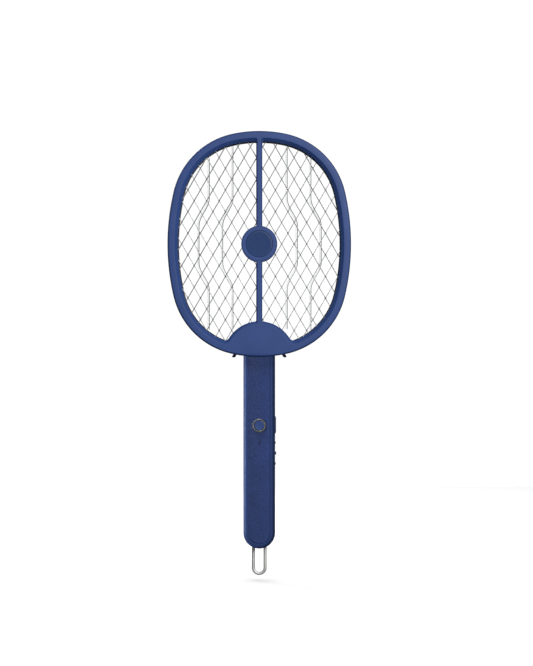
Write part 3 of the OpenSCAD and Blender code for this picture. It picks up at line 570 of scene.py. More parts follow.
def wound_coil(name, colour):
    """Enamelled wire laid in turns, with painted shade between the turns."""
    s = Shader(name)
    turns = s.bands(0.4, "Z")
    # painted shade: darker between the turns
    tone = s.ramp(turns, [(0.1, shade_of(colour, 0.35)), (0.7, colour)])
    s.colour(s.mix(s.noise(2, 3), tone, shade_of(colour, 0.7), 0.4))
    s.roughness(s.noise(3, 2), 0.25, 0.4)
    s.bump([(turns, 0.2, 0.7)])
    s.set(Metallic=0.7)
    return s.material


def wrapped_cell(name, colour):
    """Shrink film round the battery, with soft wrinkles."""
    s = Shader(name)
    wrinkles = s.noise(6, 3, 0.5, (1, 1, 0.3))
    s.colour(s.ramp(wrinkles, [(0.3, shade_of(colour, 0.82)), (0.7, shade_of(colour, 1.1))]))
    s.roughness(s.noise(4, 2), 0.22, 0.34)
    s.bump([(wrinkles, 0.2, 0.3), (s.noise(0.4, 2), 0.02, 0.2)])
    return s.material


BLUE = (0.022, 0.05, 0.168)
LOOKS = {
    # frame_blue: painted highlight on its outer edges, and its steep walls darkened to 0.4 as painted
    # shade
    "frame_blue": (moulded, BLUE, 0.4, 0.05, (0.42, 0.52), 0.15, 0.22, 0.4),
    # rear_blue: the frame blue darkened to 0.8, a shaded copy of the same plastic as painted shade
    "rear_blue": (moulded, shade_of(BLUE, 0.8), 0.4, 0.05, (0.42, 0.52)),
    "handle_blue": (moulded, shade_of(BLUE, 1.1), 0.3, 0.03, (0.36, 0.44), 0.2, 0.25),
    "leather_blue": (leather, (0.013, 0.042, 0.185)),
    "disc_blue": (moulded, (0.013, 0.036, 0.12), 0.3, 0.02, (0.34, 0.44), 0.1),
    "button_blue": (moulded, shade_of(BLUE, 1.0), 0.5, 0.03, (0.36, 0.46), 0.1),
    "trim_blue": (moulded, (0.012, 0.026, 0.095), 0.3, 0.04, (0.36, 0.48), 0.15),
    "ring_metal": (steel, (0.26, 0.25, 0.21), (0.5, 0.6), (1, 0.05, 1), 0.3),
    "mesh_steel": (steel, (0.44, 0.45, 0.46), (0.45, 0.6), (1, 1, 0.2), 0.5),
    "grid_steel": (steel, (0.44, 0.45, 0.46), (0.45, 0.6), (1, 1, 0.2), 0.5),
    "loop_steel": (steel, (0.6, 0.6, 0.59), (0.5, 0.6), (1, 1, 0.05), 0.25),
    "pin_steel": (steel, (0.6, 0.61, 0.62), (0.25, 0.38), (0.05, 1, 1), 0.3),
    "screw_steel": (steel, (0.45, 0.46, 0.47), (0.3, 0.45), (1, 0.2, 1), 0.3),
    "carrier_black": (moulded, (0.018, 0.021, 0.027), 0.4, 0.04, (0.4, 0.55)),
    "knuckle_black": (moulded, (0.022, 0.026, 0.034), 0.4, 0.05, (0.4, 0.55)),
    "spacer_clear": (clear_plastic, (0.985, 0.99, 0.99), 0.05, 1.0),
    "lens_violet": (glow_lens, (0.42, 0.34, 0.72)),
    "light_pipe": (clear_plastic, (0.006, 0.008, 0.022), 0.3, 0.1),
    "nylon_white": (moulded, (0.74, 0.71, 0.62), 0.5, 0.04, (0.4, 0.5)),
    "board_green": (circuit_board, (0.02, 0.13, 0.06)),
    "led_white": (moulded, (0.78, 0.76, 0.68), 0.6, 0.03, (0.2, 0.3)),
    "copper_coil": (wound_coil, (0.62, 0.33, 0.1)),
    "capacitor_red": (moulded, (0.3, 0.05, 0.03), 0.6, 0.05, (0.25, 0.35)),
    "chip_black": (moulded, (0.02, 0.022, 0.026), 0.3, 0.04, (0.45, 0.6)),
    "cell_green": (wrapped_cell, (0.06, 0.24, 0.16)),
    "contact_brass": (steel, (0.62, 0.48, 0.22), (0.28, 0.4), (1, 1, 0.1), 0.3),
    "lead_insulation": (moulded, (0.4, 0.035, 0.035), 0.8, 0.04, (0.3, 0.42)),
    "socket_steel": (steel, (0.55, 0.56, 0.57), (0.25, 0.35), (0.1, 1, 1), 0.3),
}
MATERIALS = {name: look[0](name, *look[1:]) for name, look in LOOKS.items()}


def weld_shader():
    """Heat-darkened spot where two strands are welded."""
    s = Shader("weld_spot")
    scale = s.noise(0.5, 3)
    s.colour(s.ramp(scale, [(0.3, (0.035, 0.034, 0.034)), (0.7, (0.14, 0.135, 0.13))]))
    s.roughness(scale, 0.45, 0.7)
    s.bump([(scale, 0.06, 0.5)])
    s.set(Metallic=0.6)
    return s.material


WELD = weld_shader()
# dark tint for the ribs' thicker lip: painted shade standing in for the dark edge line along each rib
SPACER_EDGE_SHADE = clear_plastic("spacer_lip_painted_shade", (0.05, 0.052, 0.055), 0.3, 0.3)
for cad_node in frame["nodes"].values():
    slot_name = cad_node.data.materials[0].name
    cad_node.material_slots[0].material = MATERIALS[slot_name.split(".")[0]]


# ---------- head frames ----------

def outline_loop(inset):
    """The head's outline, moved inwards, about the head's middle."""
    quarter = (arc(SIDE_C, SIDE_R - inset, 0, SIDE_END, 12)
               + arc(CORNER_C, CORNER_R - inset, SIDE_END, TOP_START, 30)
               + arc(TOP_C, TOP_R - inset, TOP_START, 90, 8))
    top = [Vector((0, HALF_H - inset))]
    left = [Vector((-p.x, p.y)) for p in reversed(quarter[1:])]
    lower_left = [Vector((-p.x, -p.y)) for p in quarter]
    low = [Vector((0, inset - HALF_H))]
    lower_right = [Vector((p.x, -p.y)) for p in reversed(quarter[1:])]
    return quarter + top + left + lower_left + low + lower_right


def centre_off_line(x, centre, radius, sign):
    """Point on a circle about centre at a given x, above or below its middle."""
    return Vector((x, centre.y + sign * math.sqrt(radius * radius - (x - centre.x) ** 2)))


def window_loop(ring, moon_r, rib, hub_r, fillet, notch):
    """Right window as (point, depth share) pairs; the share tells rib, hub, moon and ring apart."""
    low_corner = Vector((CORNER_C.x, -CORNER_C.y))
    hub = Vector((0, 0))
    x = rib + fillet
    top = centre_off_line(x, TOP_C, TOP_R - ring - fillet, 1)
    over_hub = centre_off_line(x, hub, hub_r + fillet, 1)
    under_hub = centre_off_line(x, hub, hub_r + fillet, -1)
    over_moon = centre_off_line(x, MOON_C, moon_r + fillet, 1)
    corner = max(circles_meet(low_corner, CORNER_R - ring - notch, MOON_C, moon_r + notch),
                 key=lambda p: p.x)
    edge = Vector((rib, 0))
    parts = [
        ("rib", line(Vector((edge.x, over_hub.y)), Vector((edge.x, top.y)), 24)),
        ("rib>ring", arc(top, fillet, 180, angle_to(TOP_C, top), 8)),
        ("ring", arc(TOP_C, TOP_R - ring, angle_to(TOP_C, top), TOP_START, 8)
         + arc(CORNER_C, CORNER_R - ring, TOP_START, SIDE_END, 30)
         + arc(SIDE_C, SIDE_R - ring, SIDE_END, -SIDE_END, 24)
         + arc(low_corner, CORNER_R - ring, -SIDE_END, angle_to(low_corner, corner), 26)),
        ("ring>moon", arc(corner, notch, angle_to(low_corner, corner), angle_to(corner, MOON_C), 10)),
        ("moon", arc(MOON_C, moon_r, angle_to(MOON_C, corner), angle_to(MOON_C, over_moon), 28)),
        ("moon>rib", arc(over_moon, fillet, angle_to(over_moon, MOON_C), -180, 8)),
        ("rib", line(Vector((edge.x, over_moon.y)), Vector((edge.x, under_hub.y)), 16)),
        ("rib>hub", arc(under_hub, fillet, 180, angle_to(under_hub, hub), 8)),
        ("hub", arc(hub, hub_r, angle_to(hub, under_hub), angle_to(hub, over_hub), 40)),
        ("hub>rib", arc(over_hub, fillet, angle_to(over_hub, hub), -180, 8)),
    ]
    loop = []
    for kind, points in parts:
        for i, point in enumerate(points):
            loop.append((point, kind, i / len(points)))
    return loop


FILLET, NOTCH = 1.5, 5.8                  # round corners of the openings at the rib and the moon
SLOPES = {"ring": LIP_SLOPE, "moon": 2.6, "rib": 1.5, "hub": 0.6}   # width and depth of each


def slope_depth(kind, t):
    """Depth for one kind of edge, or part way between two kinds."""
    first, last = kind.split(">")[0], kind.split(">")[-1]
    return SLOPES[first] + (SLOPES[last] - SLOPES[first]) * t


def window_ring(t, depth_share, face_y, into, depth=None):
    """One loop of 3D points across the window's slope; t is 0 at the face and 1 at the opening."""
    back = 1 - t
    loop = window_loop(BEZEL - SLOPES["ring"] * back, MOON_R - SLOPES["moon"] * back,
                       RIB_HALF - SLOPES["rib"] * back, HUB_R - 0.25,
                       FILLET + 1.1 * back, NOTCH + 2.2 * back)
    points = []
    for p, kind, s in loop:
        inward = slope_depth(kind, s) * depth_share if depth is None else depth
        points.append(Vector((p.x, face_y + into * inward, p.y + MID_Z)))
    return points


def frame_half(name, face_y, into):
    """Moulded half of the head: rounded outer edge, flat face, sloped window edges, flat back."""
    seam_y = MID_Y - into * 0.05
    seam = 0.35                           # chamfer where the two halves meet
    section = rounded([(LIP_BACK, face_y + into * LIP_BACK), (LIP_BACK, seam_y), (seam, seam_y),
                       (0, seam_y - into * seam), (0, face_y + into * 3.4), (0.5, face_y + into * 1.4),
                       (1.4, face_y + into * 0.3), (2.3, face_y)], 0.5)
    verts, faces = [], []
    rings = []
    for inset, y in section:
        start = len(verts)
        verts += [Vector((p.x, y, p.y + MID_Z)) for p in outline_loop(inset)]
        rings.append(range(start, len(verts)))
    outer_groups = [rings]
    steps = [(-0.1, 0), (0.0, 0.015), (0.1, 0.1), (0.9, 0.9), (1.0, 1.04)]
    for side in (1, -1):
        rings = []
        loops = [window_ring(t, d, face_y, into) for t, d in steps]
        loops.append(window_ring(1.0, 0, face_y, into, LIP_BACK))
        for loop in loops:
            start = len(verts)
            verts += [Vector((side * p.x, p.y, p.z)) for p in loop]
            rings.append(range(start, len(verts)))
        outer_groups.append(rings)
    for group in outer_groups:
        for a, b in zip(group, group[1:]):
            n = len(a)
            faces += [[a[i], a[(i + 1) % n], b[(i + 1) % n], b[i]] for i in range(n)]
    for outer_end, window_end in ((-1, 0), (0, -1)):
        loops = [outer_groups[0][outer_end]] + [g[window_end] for g in outer_groups[1:]]
        flat = [i for loop in loops for i in loop]
        flat_loops = [[Vector((verts[i].x, verts[i].z, 0)) for i in loop] for loop in loops]
        triangles = tessellate_polygon(flat_loops)
        faces += [[flat[i] for i in t] for t in triangles]
    return make_object(name, verts, faces)


def neck_box(name, y0, y1, low_z=BASE_Z - 10):
    return box(name, (-SLOT_HALF, y0, low_z), (SLOT_HALF, y1, SLOT_TOP))


GROOVE_IN, GROOVE_OUT, GROOVE_DEPTH = 6.5, 9.5, 0.75


def detent_groove():
    """Ring grooves in the neck's walls for the detent ball, one on each side."""
    rings = []
    for side in (-1, 1):
        x0, x1 = side * SLOT_HALF - GROOVE_DEPTH, side * SLOT_HALF + GROOVE_DEPTH
        section = [(GROOVE_IN, x0), (GROOVE_OUT, x0), (GROOVE_OUT, x1), (GROOVE_IN, x1)]
        rings.append(lathe("groove", section, (0, 0, AXLE_Z), "X", 64))
    return rings


def post_places():
    """Places of the head screws, as the CAD node has them."""
    mesh = frame["nodes"]["head_screws"].data
    groups = []
    for v in mesh.vertices:
        point = Vector((v.co.x, v.co.z)) / MM
        for group in groups:
            if (group[0] - point).length < 6:
                group.append(point)
                break
        else:
            groups.append([point])
    return [sum(g, Vector((0, 0))) / len(g) for g in groups]


def build_front_frame():
    obj = frame_half("front_frame_moulding", FRONT_Y, 1)
    room_r = DRUM_R + 0.15
    room = [(0, FRONT_Y - 2), (room_r, FRONT_Y - 2), (room_r, MID_Y), (0, MID_Y)]
    combine(obj, [lathe("hub_room", room, (0, 0, MID_Z))])
    floor_y, back_y = FRONT_Y + 2.6, FRONT_Y + LIP_BACK
    top_y, seam_y = FRONT_Y - 0.5, MID_Y - 0.2
    inner = DRUM_R - DRUM_WALL
    hub = rounded([(0, floor_y), (DISC_R, floor_y), (DISC_R, top_y), (HUB_R - 1.35, top_y),
                   (HUB_R - 0.25, FRONT_Y + 1.2), (HUB_R, FRONT_Y + 2.4), (HUB_R, back_y),
                   (DRUM_R, back_y), (DRUM_R, seam_y), (inner, seam_y),
                   (inner, floor_y + HUB_FLOOR), (0, floor_y + HUB_FLOOR)], 0.3)
    parts = [lathe("hub_boss", hub, (0, 0, MID_Z), segments=128)]
    for side in (-1, 1):
        ends = sorted((side * (SLOT_HALF - 0.6), side * (SLOT_HALF + CHEEK_W)))
        parts.append(box("cheek", (ends[0], FRONT_Y + 2.1, AXLE_Z - CHEEK_LOW),
                         (ends[1], REAR_Y - CHEEK_BACK, AXLE_Z + CHEEK_HIGH), 0.8))
    combine(obj, parts, "UNION")
    combine(obj, [neck_box("neck_slot", FRONT_Y + 2.5, REAR_Y + 5)])
    bore = [(0, -40), (AXLE_BORE_R, -40), (AXLE_BORE_R, 40), (0, 40)]
    combine(obj, [lathe("axle_bore", bore, (0, 0, AXLE_Z), "X", 48)])
    combine(obj, detent_groove())
    shade(obj)
    keep_flats(obj)
    place(obj, [MATERIALS["frame_blue"]], "head", "frame_blue", "front_frame")


def build_rear_frame():
    obj = frame_half("rear_frame_moulding", REAR_Y, -1)
    inner = DRUM_R - DRUM_WALL
    room_r = HUB_R - 1.5
    room = [(0, MID_Y - 2), (room_r, MID_Y - 2), (room_r, REAR_Y + 2), (0, REAR_Y + 2)]
    cuts = [lathe("hub_room", room, (0, 0, MID_Z))]
    clear = 0.3                           # round the front frame's cheeks
    for side in (-1, 1):
        ends = sorted((side * (SLOT_HALF - 1), side * (SLOT_HALF + CHEEK_W + 2.2)))
        cuts.append(box("neck_relief", (ends[0], MID_Y - 1, AXLE_Z - CHEEK_LOW - clear),
                        (ends[1], REAR_Y - CHEEK_BACK + clear, AXLE_Z + CHEEK_HIGH + clear)))
    bore_y = REAR_Y - SCREW_BORE_DEPTH
    bore = [(0, bore_y), (SCREW_BORE_R, bore_y), (SCREW_BORE_R, REAR_Y - 0.25),
            (SCREW_BORE_R + 0.4, REAR_Y + 0.3), (0, REAR_Y + 0.3)]
    for point in post_places():
        cuts.append(lathe("counterbore", bore, (point.x, 0, point.y), segments=32))
    combine(obj, cuts)
    combine(obj, [neck_box("neck_slot", MID_Y - 5, REAR_Y + 5)])
    combine(obj, detent_groove())
    back_y = REAR_Y - LIP_BACK
    hub = rounded([(inner, MID_Y), (inner, REAR_Y + 0.5), (HUB_R - 1.2, REAR_Y + 0.5), (HUB_R, REAR_Y - 1),
                   (HUB_R, back_y), (DRUM_R, back_y), (DRUM_R, MID_Y)], 0.35)
    combine(obj, [lathe("hub_boss", hub, (0, 0, MID_Z), segments=128), hook(-1), hook(1)], "UNION")
    shade(obj)
    keep_flats(obj)
    place(obj, [MATERIALS["rear_blue"]], "head", "rear_blue", "rear_frame")


def hook(side):
    """Short slanting stem with an outward foot."""
    outline = [(24.0, 113.5), (27.6, 113.5), (28.2, 110.6), (29.8, 108.4), (29.6, 107.1), (27.2, 106.8),
               (25.8, 107.8), (24.9, 110.0)]
    points = [(side * x, z) for x, z in outline]
    return extrude("hook", points if side < 0 else points[::-1], REAR_Y - 7, REAR_Y - 2, 0.35)


# ---------- mesh layers ----------

PITCH_X, PITCH_Z = 13.65, 23.6
NODE_AT = Vector((4, 337.1 - MID_Z))
MESH_INSET, MESH_HUB, MESH_MOON = 7.6, HUB_R - 1.2, MOON_R - 1.6
CARRIER_INSET = 12.3


def depth_in_outline(p):
    """Distance inside the head's outline, of a point about the head's middle."""
    q = Vector((abs(p.x), abs(p.y)))
    if angle_to(SIDE_C, q) < SIDE_END:
        return SIDE_R - (q - SIDE_C).length
    if angle_to(TOP_C, q) > TOP_START:
        return TOP_R - (q - TOP_C).length
    return CORNER_R - (q - CORNER_C).length


def in_mesh(p, margin=0.0):
    return (depth_in_outline(p) > MESH_INSET + margin and p.length > MESH_HUB + margin
            and (p - MOON_C).length > MESH_MOON + margin)


def strand_runs(start, step, spacing=0.25, reach=300):
    """Stretches of a line that lie in the mesh, as pairs of distances."""
    runs, begin = [], None
    count = int(2 * reach / spacing)
    for i in range(count):
        t = -reach + i * spacing
        inside = in_mesh(start + t * step)
        if inside and begin is None:
            begin = t
        if not inside and begin is not None:
            if t - begin > 4:
                runs.append((begin, t))
            begin = None
    return runs


def find_strands():
    """Every strand stretch as (slope, start, direction, first and last distance)."""
    angle = math.atan2(PITCH_Z, PITCH_X)
    found = []
    for slope in (1, -1):
        step = Vector((slope * math.cos(angle), math.sin(angle)))
        for i in range(-18, 19):
            start = NODE_AT + Vector((i * PITCH_X, 0))
            found += [(slope, start, step, t0, t1) for t0, t1 in strand_runs(start, step)]
    return found


STRANDS = find_strands()


def build_lattice(name, node, slot):
    """Two strand families that lean towards each other at their welded crossings."""
    low, high = cad_limits(node)
    middle = (low.y + high.y) / 2
    lift = (high.y - low.y) / 2 - STRAND_R
    cell = math.hypot(PITCH_X, PITCH_Z) / 2
    verts, faces = [], []
    for slope, start, step, t0, t1 in STRANDS:
        count = max(2, round((t1 - t0) / cell * 4))
        path = []
        for k in range(count + 1):
            t = t0 + (t1 - t0) * k / count
            sway = 0.82 + 0.18 * abs(math.sin(math.pi * t / cell))
            p = start + t * step
            path.append(Vector((p.x, middle - slope * lift * sway, p.y + MID_Z)))
        tube(verts, faces, path, STRAND_R, 8)
    strand_faces = len(faces)
    add_welds(verts, faces, middle)
    obj = make_object(name, verts, faces)
    kinds = [0] * strand_faces + [1] * (len(faces) - strand_faces)
    obj.data.polygons.foreach_set("material_index", kinds)
    shade(obj, 50)
    place(obj, [MATERIALS[slot], WELD], "head", slot, node)


def add_welds(verts, faces, y):
    """Small flattened beads at the crossings."""
    for row in range(-12, 22):
        for column in range(-12, 13):
            x = NODE_AT.x + (column + (row % 2) / 2) * PITCH_X
            z = NODE_AT.y - row * PITCH_Z / 2
            if in_mesh(Vector((x, z)), 0.6):
                size = 0.86 + 0.1 * math.sin(3.1 * row + 1.7 * column)
                bead(verts, faces, Vector((x, y, z + MID_Z)), Vector((size, 0.78, size)))


def bead(verts, faces, centre, radii, around=10, bands=6):
    """A small ellipsoid with its poles front and rear."""
    start = len(verts)
    verts.append(centre - Vector((0, radii.y, 0)))
    for i in range(1, bands):
        a = math.pi * i / bands
        for k in range(around):
            b = 2 * math.pi * k / around
            verts.append(centre + Vector((radii.x * math.sin(a) * math.cos(b), -radii.y * math.cos(a),
                                          radii.z * math.sin(a) * math.sin(b))))
    verts.append(centre + Vector((0, radii.y, 0)))
    for k in range(around):
        following = (k + 1) % around
        faces.append([start, start + 1 + k, start + 1 + following])
        faces.append([len(verts) - 1, len(verts) - 1 - around + following, len(verts) - 1 - around + k])
        for i in range(bands - 2):
            a, b = start + 1 + i * around + k, start + 1 + i * around + following
            faces.append([a, a + around, b + around, b])


SPACER_XS = (-55.5, -29.6, 29.6, 55.5)    # where the ribs stand
SPACER_HALF = 1.3
BOW_SHIFT, BOW_NEAR, BOW_FAR = 11.2, 20, 50


def bow(z):
    """Sideways shift of a spacer rib round the hub."""
    d = abs(z)
    if d <= BOW_NEAR:
        return BOW_SHIFT
    turn = math.pi * (d - BOW_NEAR) / (BOW_FAR - BOW_NEAR)
    return 0.0 if d >= BOW_FAR else BOW_SHIFT / 2 * (1 + math.cos(turn))


def build_spacers(name, node):
    """Wavy ribs: a thin clear web between a small clear lip and a thicker lip tinted dark as painted shade
    for the rib's dark edge.
    """
    low, high = cad_limits(node)
    middle = (low.y + high.y) / 2
    web = [(-1.0, middle - 0.2), (0.85, middle - 0.2), (0.85, middle + 0.2), (-1.0, middle + 0.2)]
    left = [(-SPACER_HALF, low.y), (-1.0, low.y), (-1.0, high.y), (-SPACER_HALF, high.y)]
    right = [(0.7, low.y), (SPACER_HALF, low.y), (SPACER_HALF, high.y), (0.7, high.y)]
    verts, faces, kinds = [], [], []
    for x in SPACER_XS:
        far, near = abs(x) + SPACER_HALF, x + SPACER_HALF * math.copysign(1, -x)
        heights = [60 + i / 8 for i in range(500)]
        reach = max(z for z in heights if depth_in_outline(Vector((far, z))) > CARRIER_INSET)
        bottom = -reach
        while (Vector((near, bottom)) - MOON_C).length < MOON_R + 2.6:
            bottom += 0.2
        for kind, section in enumerate((web, left, right)):
            before = len(faces)
            add_strip(verts, faces, section, x, bottom, reach)
            kinds += [1 if kind == 2 else 0] * (len(faces) - before)
    obj = make_object(name, verts, faces)
    obj.data.polygons.foreach_set("material_index", kinds)
    shade(obj, 40)
    place(obj, [MATERIALS["spacer_clear"], SPACER_EDGE_SHADE], "head", "spacer_clear", node)


def add_strip(verts, faces, section, x, bottom, top, count=90):
    """Sweeps a section of (sideways, y) points along a bowed rib."""
    start = len(verts)
    for i in range(count + 1):
        z = bottom + (top - bottom) * i / count
        centre = x + math.copysign(bow(z), x)
        verts += [Vector((centre + dx, y, z + MID_Z)) for dx, y in section]
    add_skin(faces, start, count + 1, len(section), 1)


def build_hub_disc():
    """Turned disc with shallow concentric grooves."""
    front = FRONT_Y + 0.5
    edge = DISC_R - 0.15
    profile = [(0, front)]
    r = 0.5
    while r < edge - 1.7:
        profile += [(r, front), (r + 0.3, front + 0.35), (r + 0.8, front + 0.35), (r + 1.1, front)]
        r += 2.1
    profile += rounded([(edge - 0.5, front), (edge, front + 0.1), (edge, front + 2), (2.2, front + 2),
                        (2.2, front + 4), (0, front + 4)], 0.25)
    obj = lathe("hub_disc_turned", profile, (0, 0, MID_Z), segments=128)
    finish(obj, "head", "disc_blue", "hub_disc", 40)


# ---------- handle ----------

PANEL_FACE = -13.15
PANEL_BACK = -12.0
PANEL_DISH = 0.8                          # how far the middle lies behind the edges
PANEL_TOP = 116.6


def pebble(x, z, size=1.25):
    """Height of the embossed grain, 0 in the creases and 1 on the pebbles."""
    distances = noise.voronoi(Vector((x, z, 3.7)) / size)[0]
    return min((distances[1] - distances[0]) / 0.32, 1.0)


def build_panel():
    """Inset grip panel: slightly dished, soft rim, embossed pebble grain."""
    cell = 0.4
    quarter = math.pi / 2
    columns = round(2 * PANEL_HALF / cell)
    rows = [PANEL_TOP - i * cell for i in range(int((PANEL_TOP - GRIP_END_Z) / cell) + 1)]
    turns = round(quarter * PANEL_HALF / cell)
    rows += [GRIP_END_Z - PANEL_HALF * math.sin(quarter * i / turns) for i in range(1, turns + 1)]
    verts, faces, heights = [], [], []
    for z in rows:
        below = max(GRIP_END_Z - z, 0)
        half = math.sqrt(max(PANEL_HALF ** 2 - below ** 2, 1e-8))
        for k in range(columns + 1):
            x = half * math.sin(quarter * (2 * k / columns - 1) * 0.97) / math.sin(quarter * 0.97)
            reach = PANEL_HALF - math.hypot(x, below)
            rim = max(1 - min(reach, PANEL_TOP - z) / 0.9, 0) ** 2
            height = pebble(x, z)
            fade = min(max(reach, 0) / 1.2, 1)
            y = PANEL_FACE + PANEL_DISH * (1 - (x / PANEL_HALF) ** 2) + 0.4 * min(rim, 1)
            verts.append(Vector((x, y + 0.16 * (1 - height) * fade, z)))
            heights.append(0.5 + (height - 0.5) * fade)
    width = columns + 1
    for i in range(len(rows) - 1):
        for k in range(columns):
            a = i * width + k
            middle = (verts[a] + verts[a + width + 1]) / 2
            if not in_hole(middle.x, middle.z):
                faces.append([a, a + 1, a + width + 1, a + width])
    finish_panel(verts, faces, heights)


PANEL_HOLES = ((14.0, 0.8), (17.6, 0.6), (BUTTON_Z, 6.35))   # height and radius of each


def in_hole(x, z):
    return any(math.hypot(x, z - hole_z) < r for hole_z, r in PANEL_HOLES)


def round_holes(bm):
    """Moves the ragged rims of the holes onto true circles."""
    for v in [v for v in bm.verts if v.is_boundary]:
        for hole_z, r in PANEL_HOLES:
            away = math.hypot(v.co.x, v.co.z - hole_z * MM)
            if away < (r + 0.6) * MM:
                v.co.x *= r * MM / away
                v.co.z = hole_z * MM + (v.co.z - hole_z * MM) * r * MM / away


def finish_panel(verts, faces, heights):
    mesh = bpy.data.meshes.new("grip_panel_skin")
    mesh.from_pydata([v * MM for v in verts], [], faces)
    grain = mesh.attributes.new("grain", "FLOAT", "POINT")
    grain.data.foreach_set("value", heights)
    bm = bmesh.new()
    bm.from_mesh(mesh)
    loose = [v for v in bm.verts if not v.link_faces]
    bmesh.ops.delete(bm, geom=loose, context="VERTS")
    bmesh.ops.remove_doubles(bm, verts=bm.verts, dist=2e-5)
    bmesh.ops.recalc_face_normals(bm, faces=bm.faces)
    round_holes(bm)
    skirt = bmesh.ops.extrude_edge_only(bm, edges=[e for e in bm.edges if e.is_boundary])
    for v in skirt["geom"]:
        if isinstance(v, bmesh.types.BMVert):
            v.co.y = PANEL_BACK * MM
    bmesh.ops.recalc_face_normals(bm, faces=bm.faces)
    bm.to_mesh(mesh)
    bm.free()
    obj = bpy.data.objects.new("grip_panel_skin", mesh)
    scene.collection.objects.link(obj)
    finish(obj, "handle", "leather_blue", "grip_panel", 60)


def build_button():
    front = cad_limits("front_button")[0].y
    outer, stem, skirt_y, stem_y = 5.6, 2.2, front + 2.2, front + 3.1
    profile = rounded([(0, front + 0.25), (3.4, front + 0.16), (4.8, front), (outer, front + 0.25),
                       (outer, skirt_y), (stem, skirt_y), (stem, stem_y), (0, stem_y)], 0.4)
    obj = lathe("front_button_cap", profile, (0, 0, BUTTON_Z), segments=96)
    finish(obj, "front_button", "button_blue", "front_button", 40)


def build_ring():
    front = ring_low.y
    inner, outer, back = 5.85, 7.1, front + 2.2
    profile = rounded([(inner, back), (inner, front + 0.12), (inner + 0.2, front), (outer - 0.2, front),
                       (outer, front + 0.2), (outer, back)], 0.25)
    obj = lathe("button_ring_turned", profile, (0, 0, BUTTON_Z), segments=96)
    finish(obj, "handle", "ring_metal", "button_ring", 40)


def build_side_button():
    low, high = cad_limits("side_button")
    root, face = 15.2, high.x
    inset = face - 0.25
    shell = GRIP_HALF_W - 0.2
    outline = [(root, low.z), (shell, low.z), (inset, low.z + 1.5), (face, low.z + 2.3),
               (face, high.z - 2.3), (inset, high.z - 1.5), (shell, high.z), (root, high.z)]
    obj = extrude("side_button_cap", outline[::-1], low.y, high.y, 0.5, 3)
    middle = (low.z + high.z) / 2
    combine(obj, [box("grip_line", (inset, low.y - 1, middle + 1.8 * i - 0.25),
                      (face + 1, high.y + 1, middle + 1.8 * i + 0.25)) for i in range(-3, 4)])
    combine(obj, [lathe("stem", [(0, low.x), (1.6, low.x), (1.6, root + 0.5), (0, root + 0.5)],
                        (0, SWITCH_Y, middle), "X", 32)], "UNION")
    finish(obj, "side_button", "trim_blue", "side_button")


def build_knob():
    low, high = cad_limits("mode_switch_knob")
    middle = (low.z + high.z) / 2
    obj = box("mode_switch_cap", (15.1, low.y, low.z), (high.x - 0.35, high.y, high.z), 0.35)
    parts = [box("knob_ridge", (high.x - 0.9, low.y + 0.15, middle + 1.15 * i - 0.35),
                 (high.x, high.y - 0.15, middle + 1.15 * i + 0.35), 0.2, 2) for i in (-1, 0, 1)]
    parts.append(box("knob_stem", (low.x, SWITCH_Y - 0.9, middle - 1.4),
                     (15.6, SWITCH_Y + 0.9, middle + 1.4)))
    combine(obj, parts, "UNION")
    finish(obj, "mode_knob", "trim_blue", "mode_switch_knob")


build_front_frame()
build_rear_frame()
build_lattice("front_guard_strands", "front_guard_mesh", "mesh_steel")
build_lattice("high_voltage_strands", "high_voltage_grid", "grid_steel")
build_lattice("rear_guard_strands", "rear_guard_mesh", "mesh_steel")
build_spacers("front_spacer_strips", "front_spacer_ribs")
build_spacers("rear_spacer_strips", "rear_spacer_ribs")
build_hub_disc()
build_panel()
build_button()
build_ring()
build_side_button()
build_knob()


# ---------- stage, light and camera ----------

def stage_floor():
    low = cad_box[0].z / MM - 6
    size = 1600
    verts = [(-size, -size, low), (size, -size, low), (size, size, low), (-size, size, low)]
    floor = make_object("floor", verts, [[0, 1, 2, 3]])
    s = Shader("pale_floor")
    s.colour(s.ramp(s.noise(90, 2), [(0.3, (0.93, 0.93, 0.93)), (0.7, (0.97, 0.97, 0.97))]))
    s.set(Roughness=0.9, Specular_IOR_Level=0.1)
    floor.data.materials.append(s.material)
    floor.visible_diffuse = False
    floor.visible_glossy = False
    return floor


def area_light(name, place_mm, target_mm, size_mm, power, receivers=()):
    """A rectangular lamp that shines from a place towards a target, on everything or on some objects."""
    lamp = bpy.data.lights.new(name, "AREA")
    lamp.shape = "RECTANGLE"
    lamp.size, lamp.size_y = size_mm[0] * MM, size_mm[1] * MM
    lamp.energy = power
    obj = bpy.data.objects.new(name, lamp)
    obj.location = Vector(place_mm) * MM
    direction = Vector(target_mm) - Vector(place_mm)
    obj.rotation_euler = direction.to_track_quat("-Z", "Y").to_euler()
    obj.visible_camera = False
    scene.collection.objects.link(obj)
    if receivers:
        group = bpy.data.collections.new(name + "_receivers")
        for receiver in receivers:
            group.objects.link(receiver)
        obj.light_linking.receiver_collection = group


def riders(*bodies):
    """Everything that rides on some bodies."""
    found = []
    for body in bodies:
        found += [obj for obj in frame["bodies"][body].children_recursive if obj not in found]
    return found


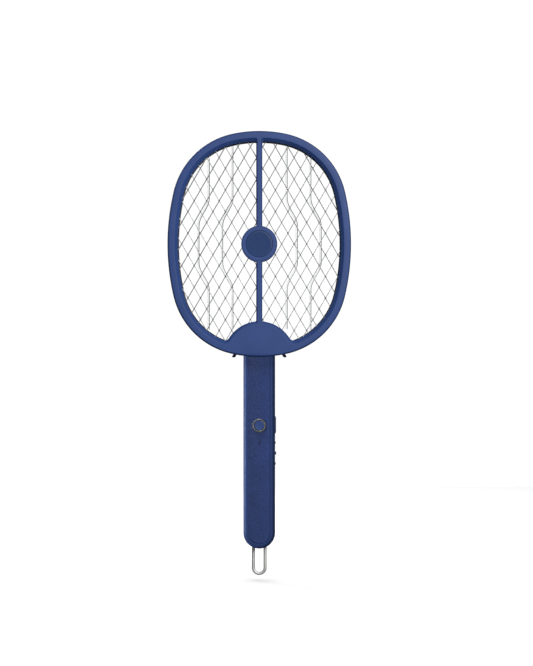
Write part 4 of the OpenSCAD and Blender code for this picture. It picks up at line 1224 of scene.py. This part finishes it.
def surroundings():
    """White to the eye; as light, brighter in front and behind than at the sides."""
    world = bpy.data.worlds.new("surroundings")
    scene.world = world
    world.use_nodes = True
    tree = Nodes(world.node_tree)
    new, link = tree.nodes.new, tree.links.new
    tree.nodes.clear()
    seen, light = new("ShaderNodeBackground"), new("ShaderNodeBackground")
    seen.inputs["Color"].default_value = (1, 1, 1, 1)
    seen.inputs["Strength"].default_value = 1.05
    split = new("ShaderNodeSeparateXYZ")
    link(new("ShaderNodeTexCoord").outputs["Generated"], split.inputs["Vector"])
    stops = ((0.0, 0.55), (0.3, 0.3), (0.5, 0.1), (0.7, 0.3), (1.0, 0.65))
    depth = tree.spread(split.outputs["Y"], -1, 1, 0, 1)
    levels = tree.ramp(depth, [(at, (level, level, level)) for at, level in stops])
    link(levels, light.inputs["Color"])
    link(tree.spread(split.outputs["Z"], -1, 1, 0.35, 1), light.inputs["Strength"])
    path, plain = new("ShaderNodeLightPath"), new("ShaderNodeMath")
    plain.operation = "MAXIMUM"
    link(path.outputs["Is Camera Ray"], plain.inputs[0])
    link(path.outputs["Is Transmission Ray"], plain.inputs[1])
    mix = new("ShaderNodeMixShader")
    link(plain.outputs["Value"], mix.inputs["Fac"])
    link(light.outputs["Background"], mix.inputs[1])
    link(seen.outputs["Background"], mix.inputs[2])
    link(mix.outputs["Shader"], new("ShaderNodeOutputWorld").inputs["Surface"])


CAMERA_DISTANCE = 2600.0                  # from the front frame's face
VIEW_HEIGHT = 723.9                       # what the picture's height covers at that face
VIEW_CENTRE = (7.9, 133.7)


def photo_camera():
    data = bpy.data.cameras.new("camera")
    data.lens = data.sensor_width * CAMERA_DISTANCE / VIEW_HEIGHT
    data.clip_end = 50
    camera = bpy.data.objects.new("camera", data)
    camera.location = Vector((VIEW_CENTRE[0], FRONT_Y - CAMERA_DISTANCE, VIEW_CENTRE[1])) * MM
    camera.rotation_euler = (math.radians(90), 0, 0)
    scene.collection.objects.link(camera)
    scene.camera = camera


floor = stage_floor()
surroundings()
on_handle = riders("handle")
on_the_rest = riders("head", "front_button", "side_button", "mode_knob", "loop")
area_light("head_key", (850, -1900, 900), (0, 0, 230), (500, 500), 54, on_the_rest)
area_light("handle_key", (-900, -330, -160), (0, 0, 0), (120, 420), 16, on_handle)
area_light("handle_front", (500, -1900, 500), (0, 0, 0), (500, 500), 4, on_handle)
area_light("handle_top", (-250, -150, 900), (0, -13, 40), (260, 60), 12, on_handle)
area_light("rear_fill", (-900, 1500, 900), (0, 0, 150), (900, 900), 12)
area_light("floor_light", (0, 0, 2400), (0, 0, 0), (3000, 3000), 82, [floor])
photo_camera()
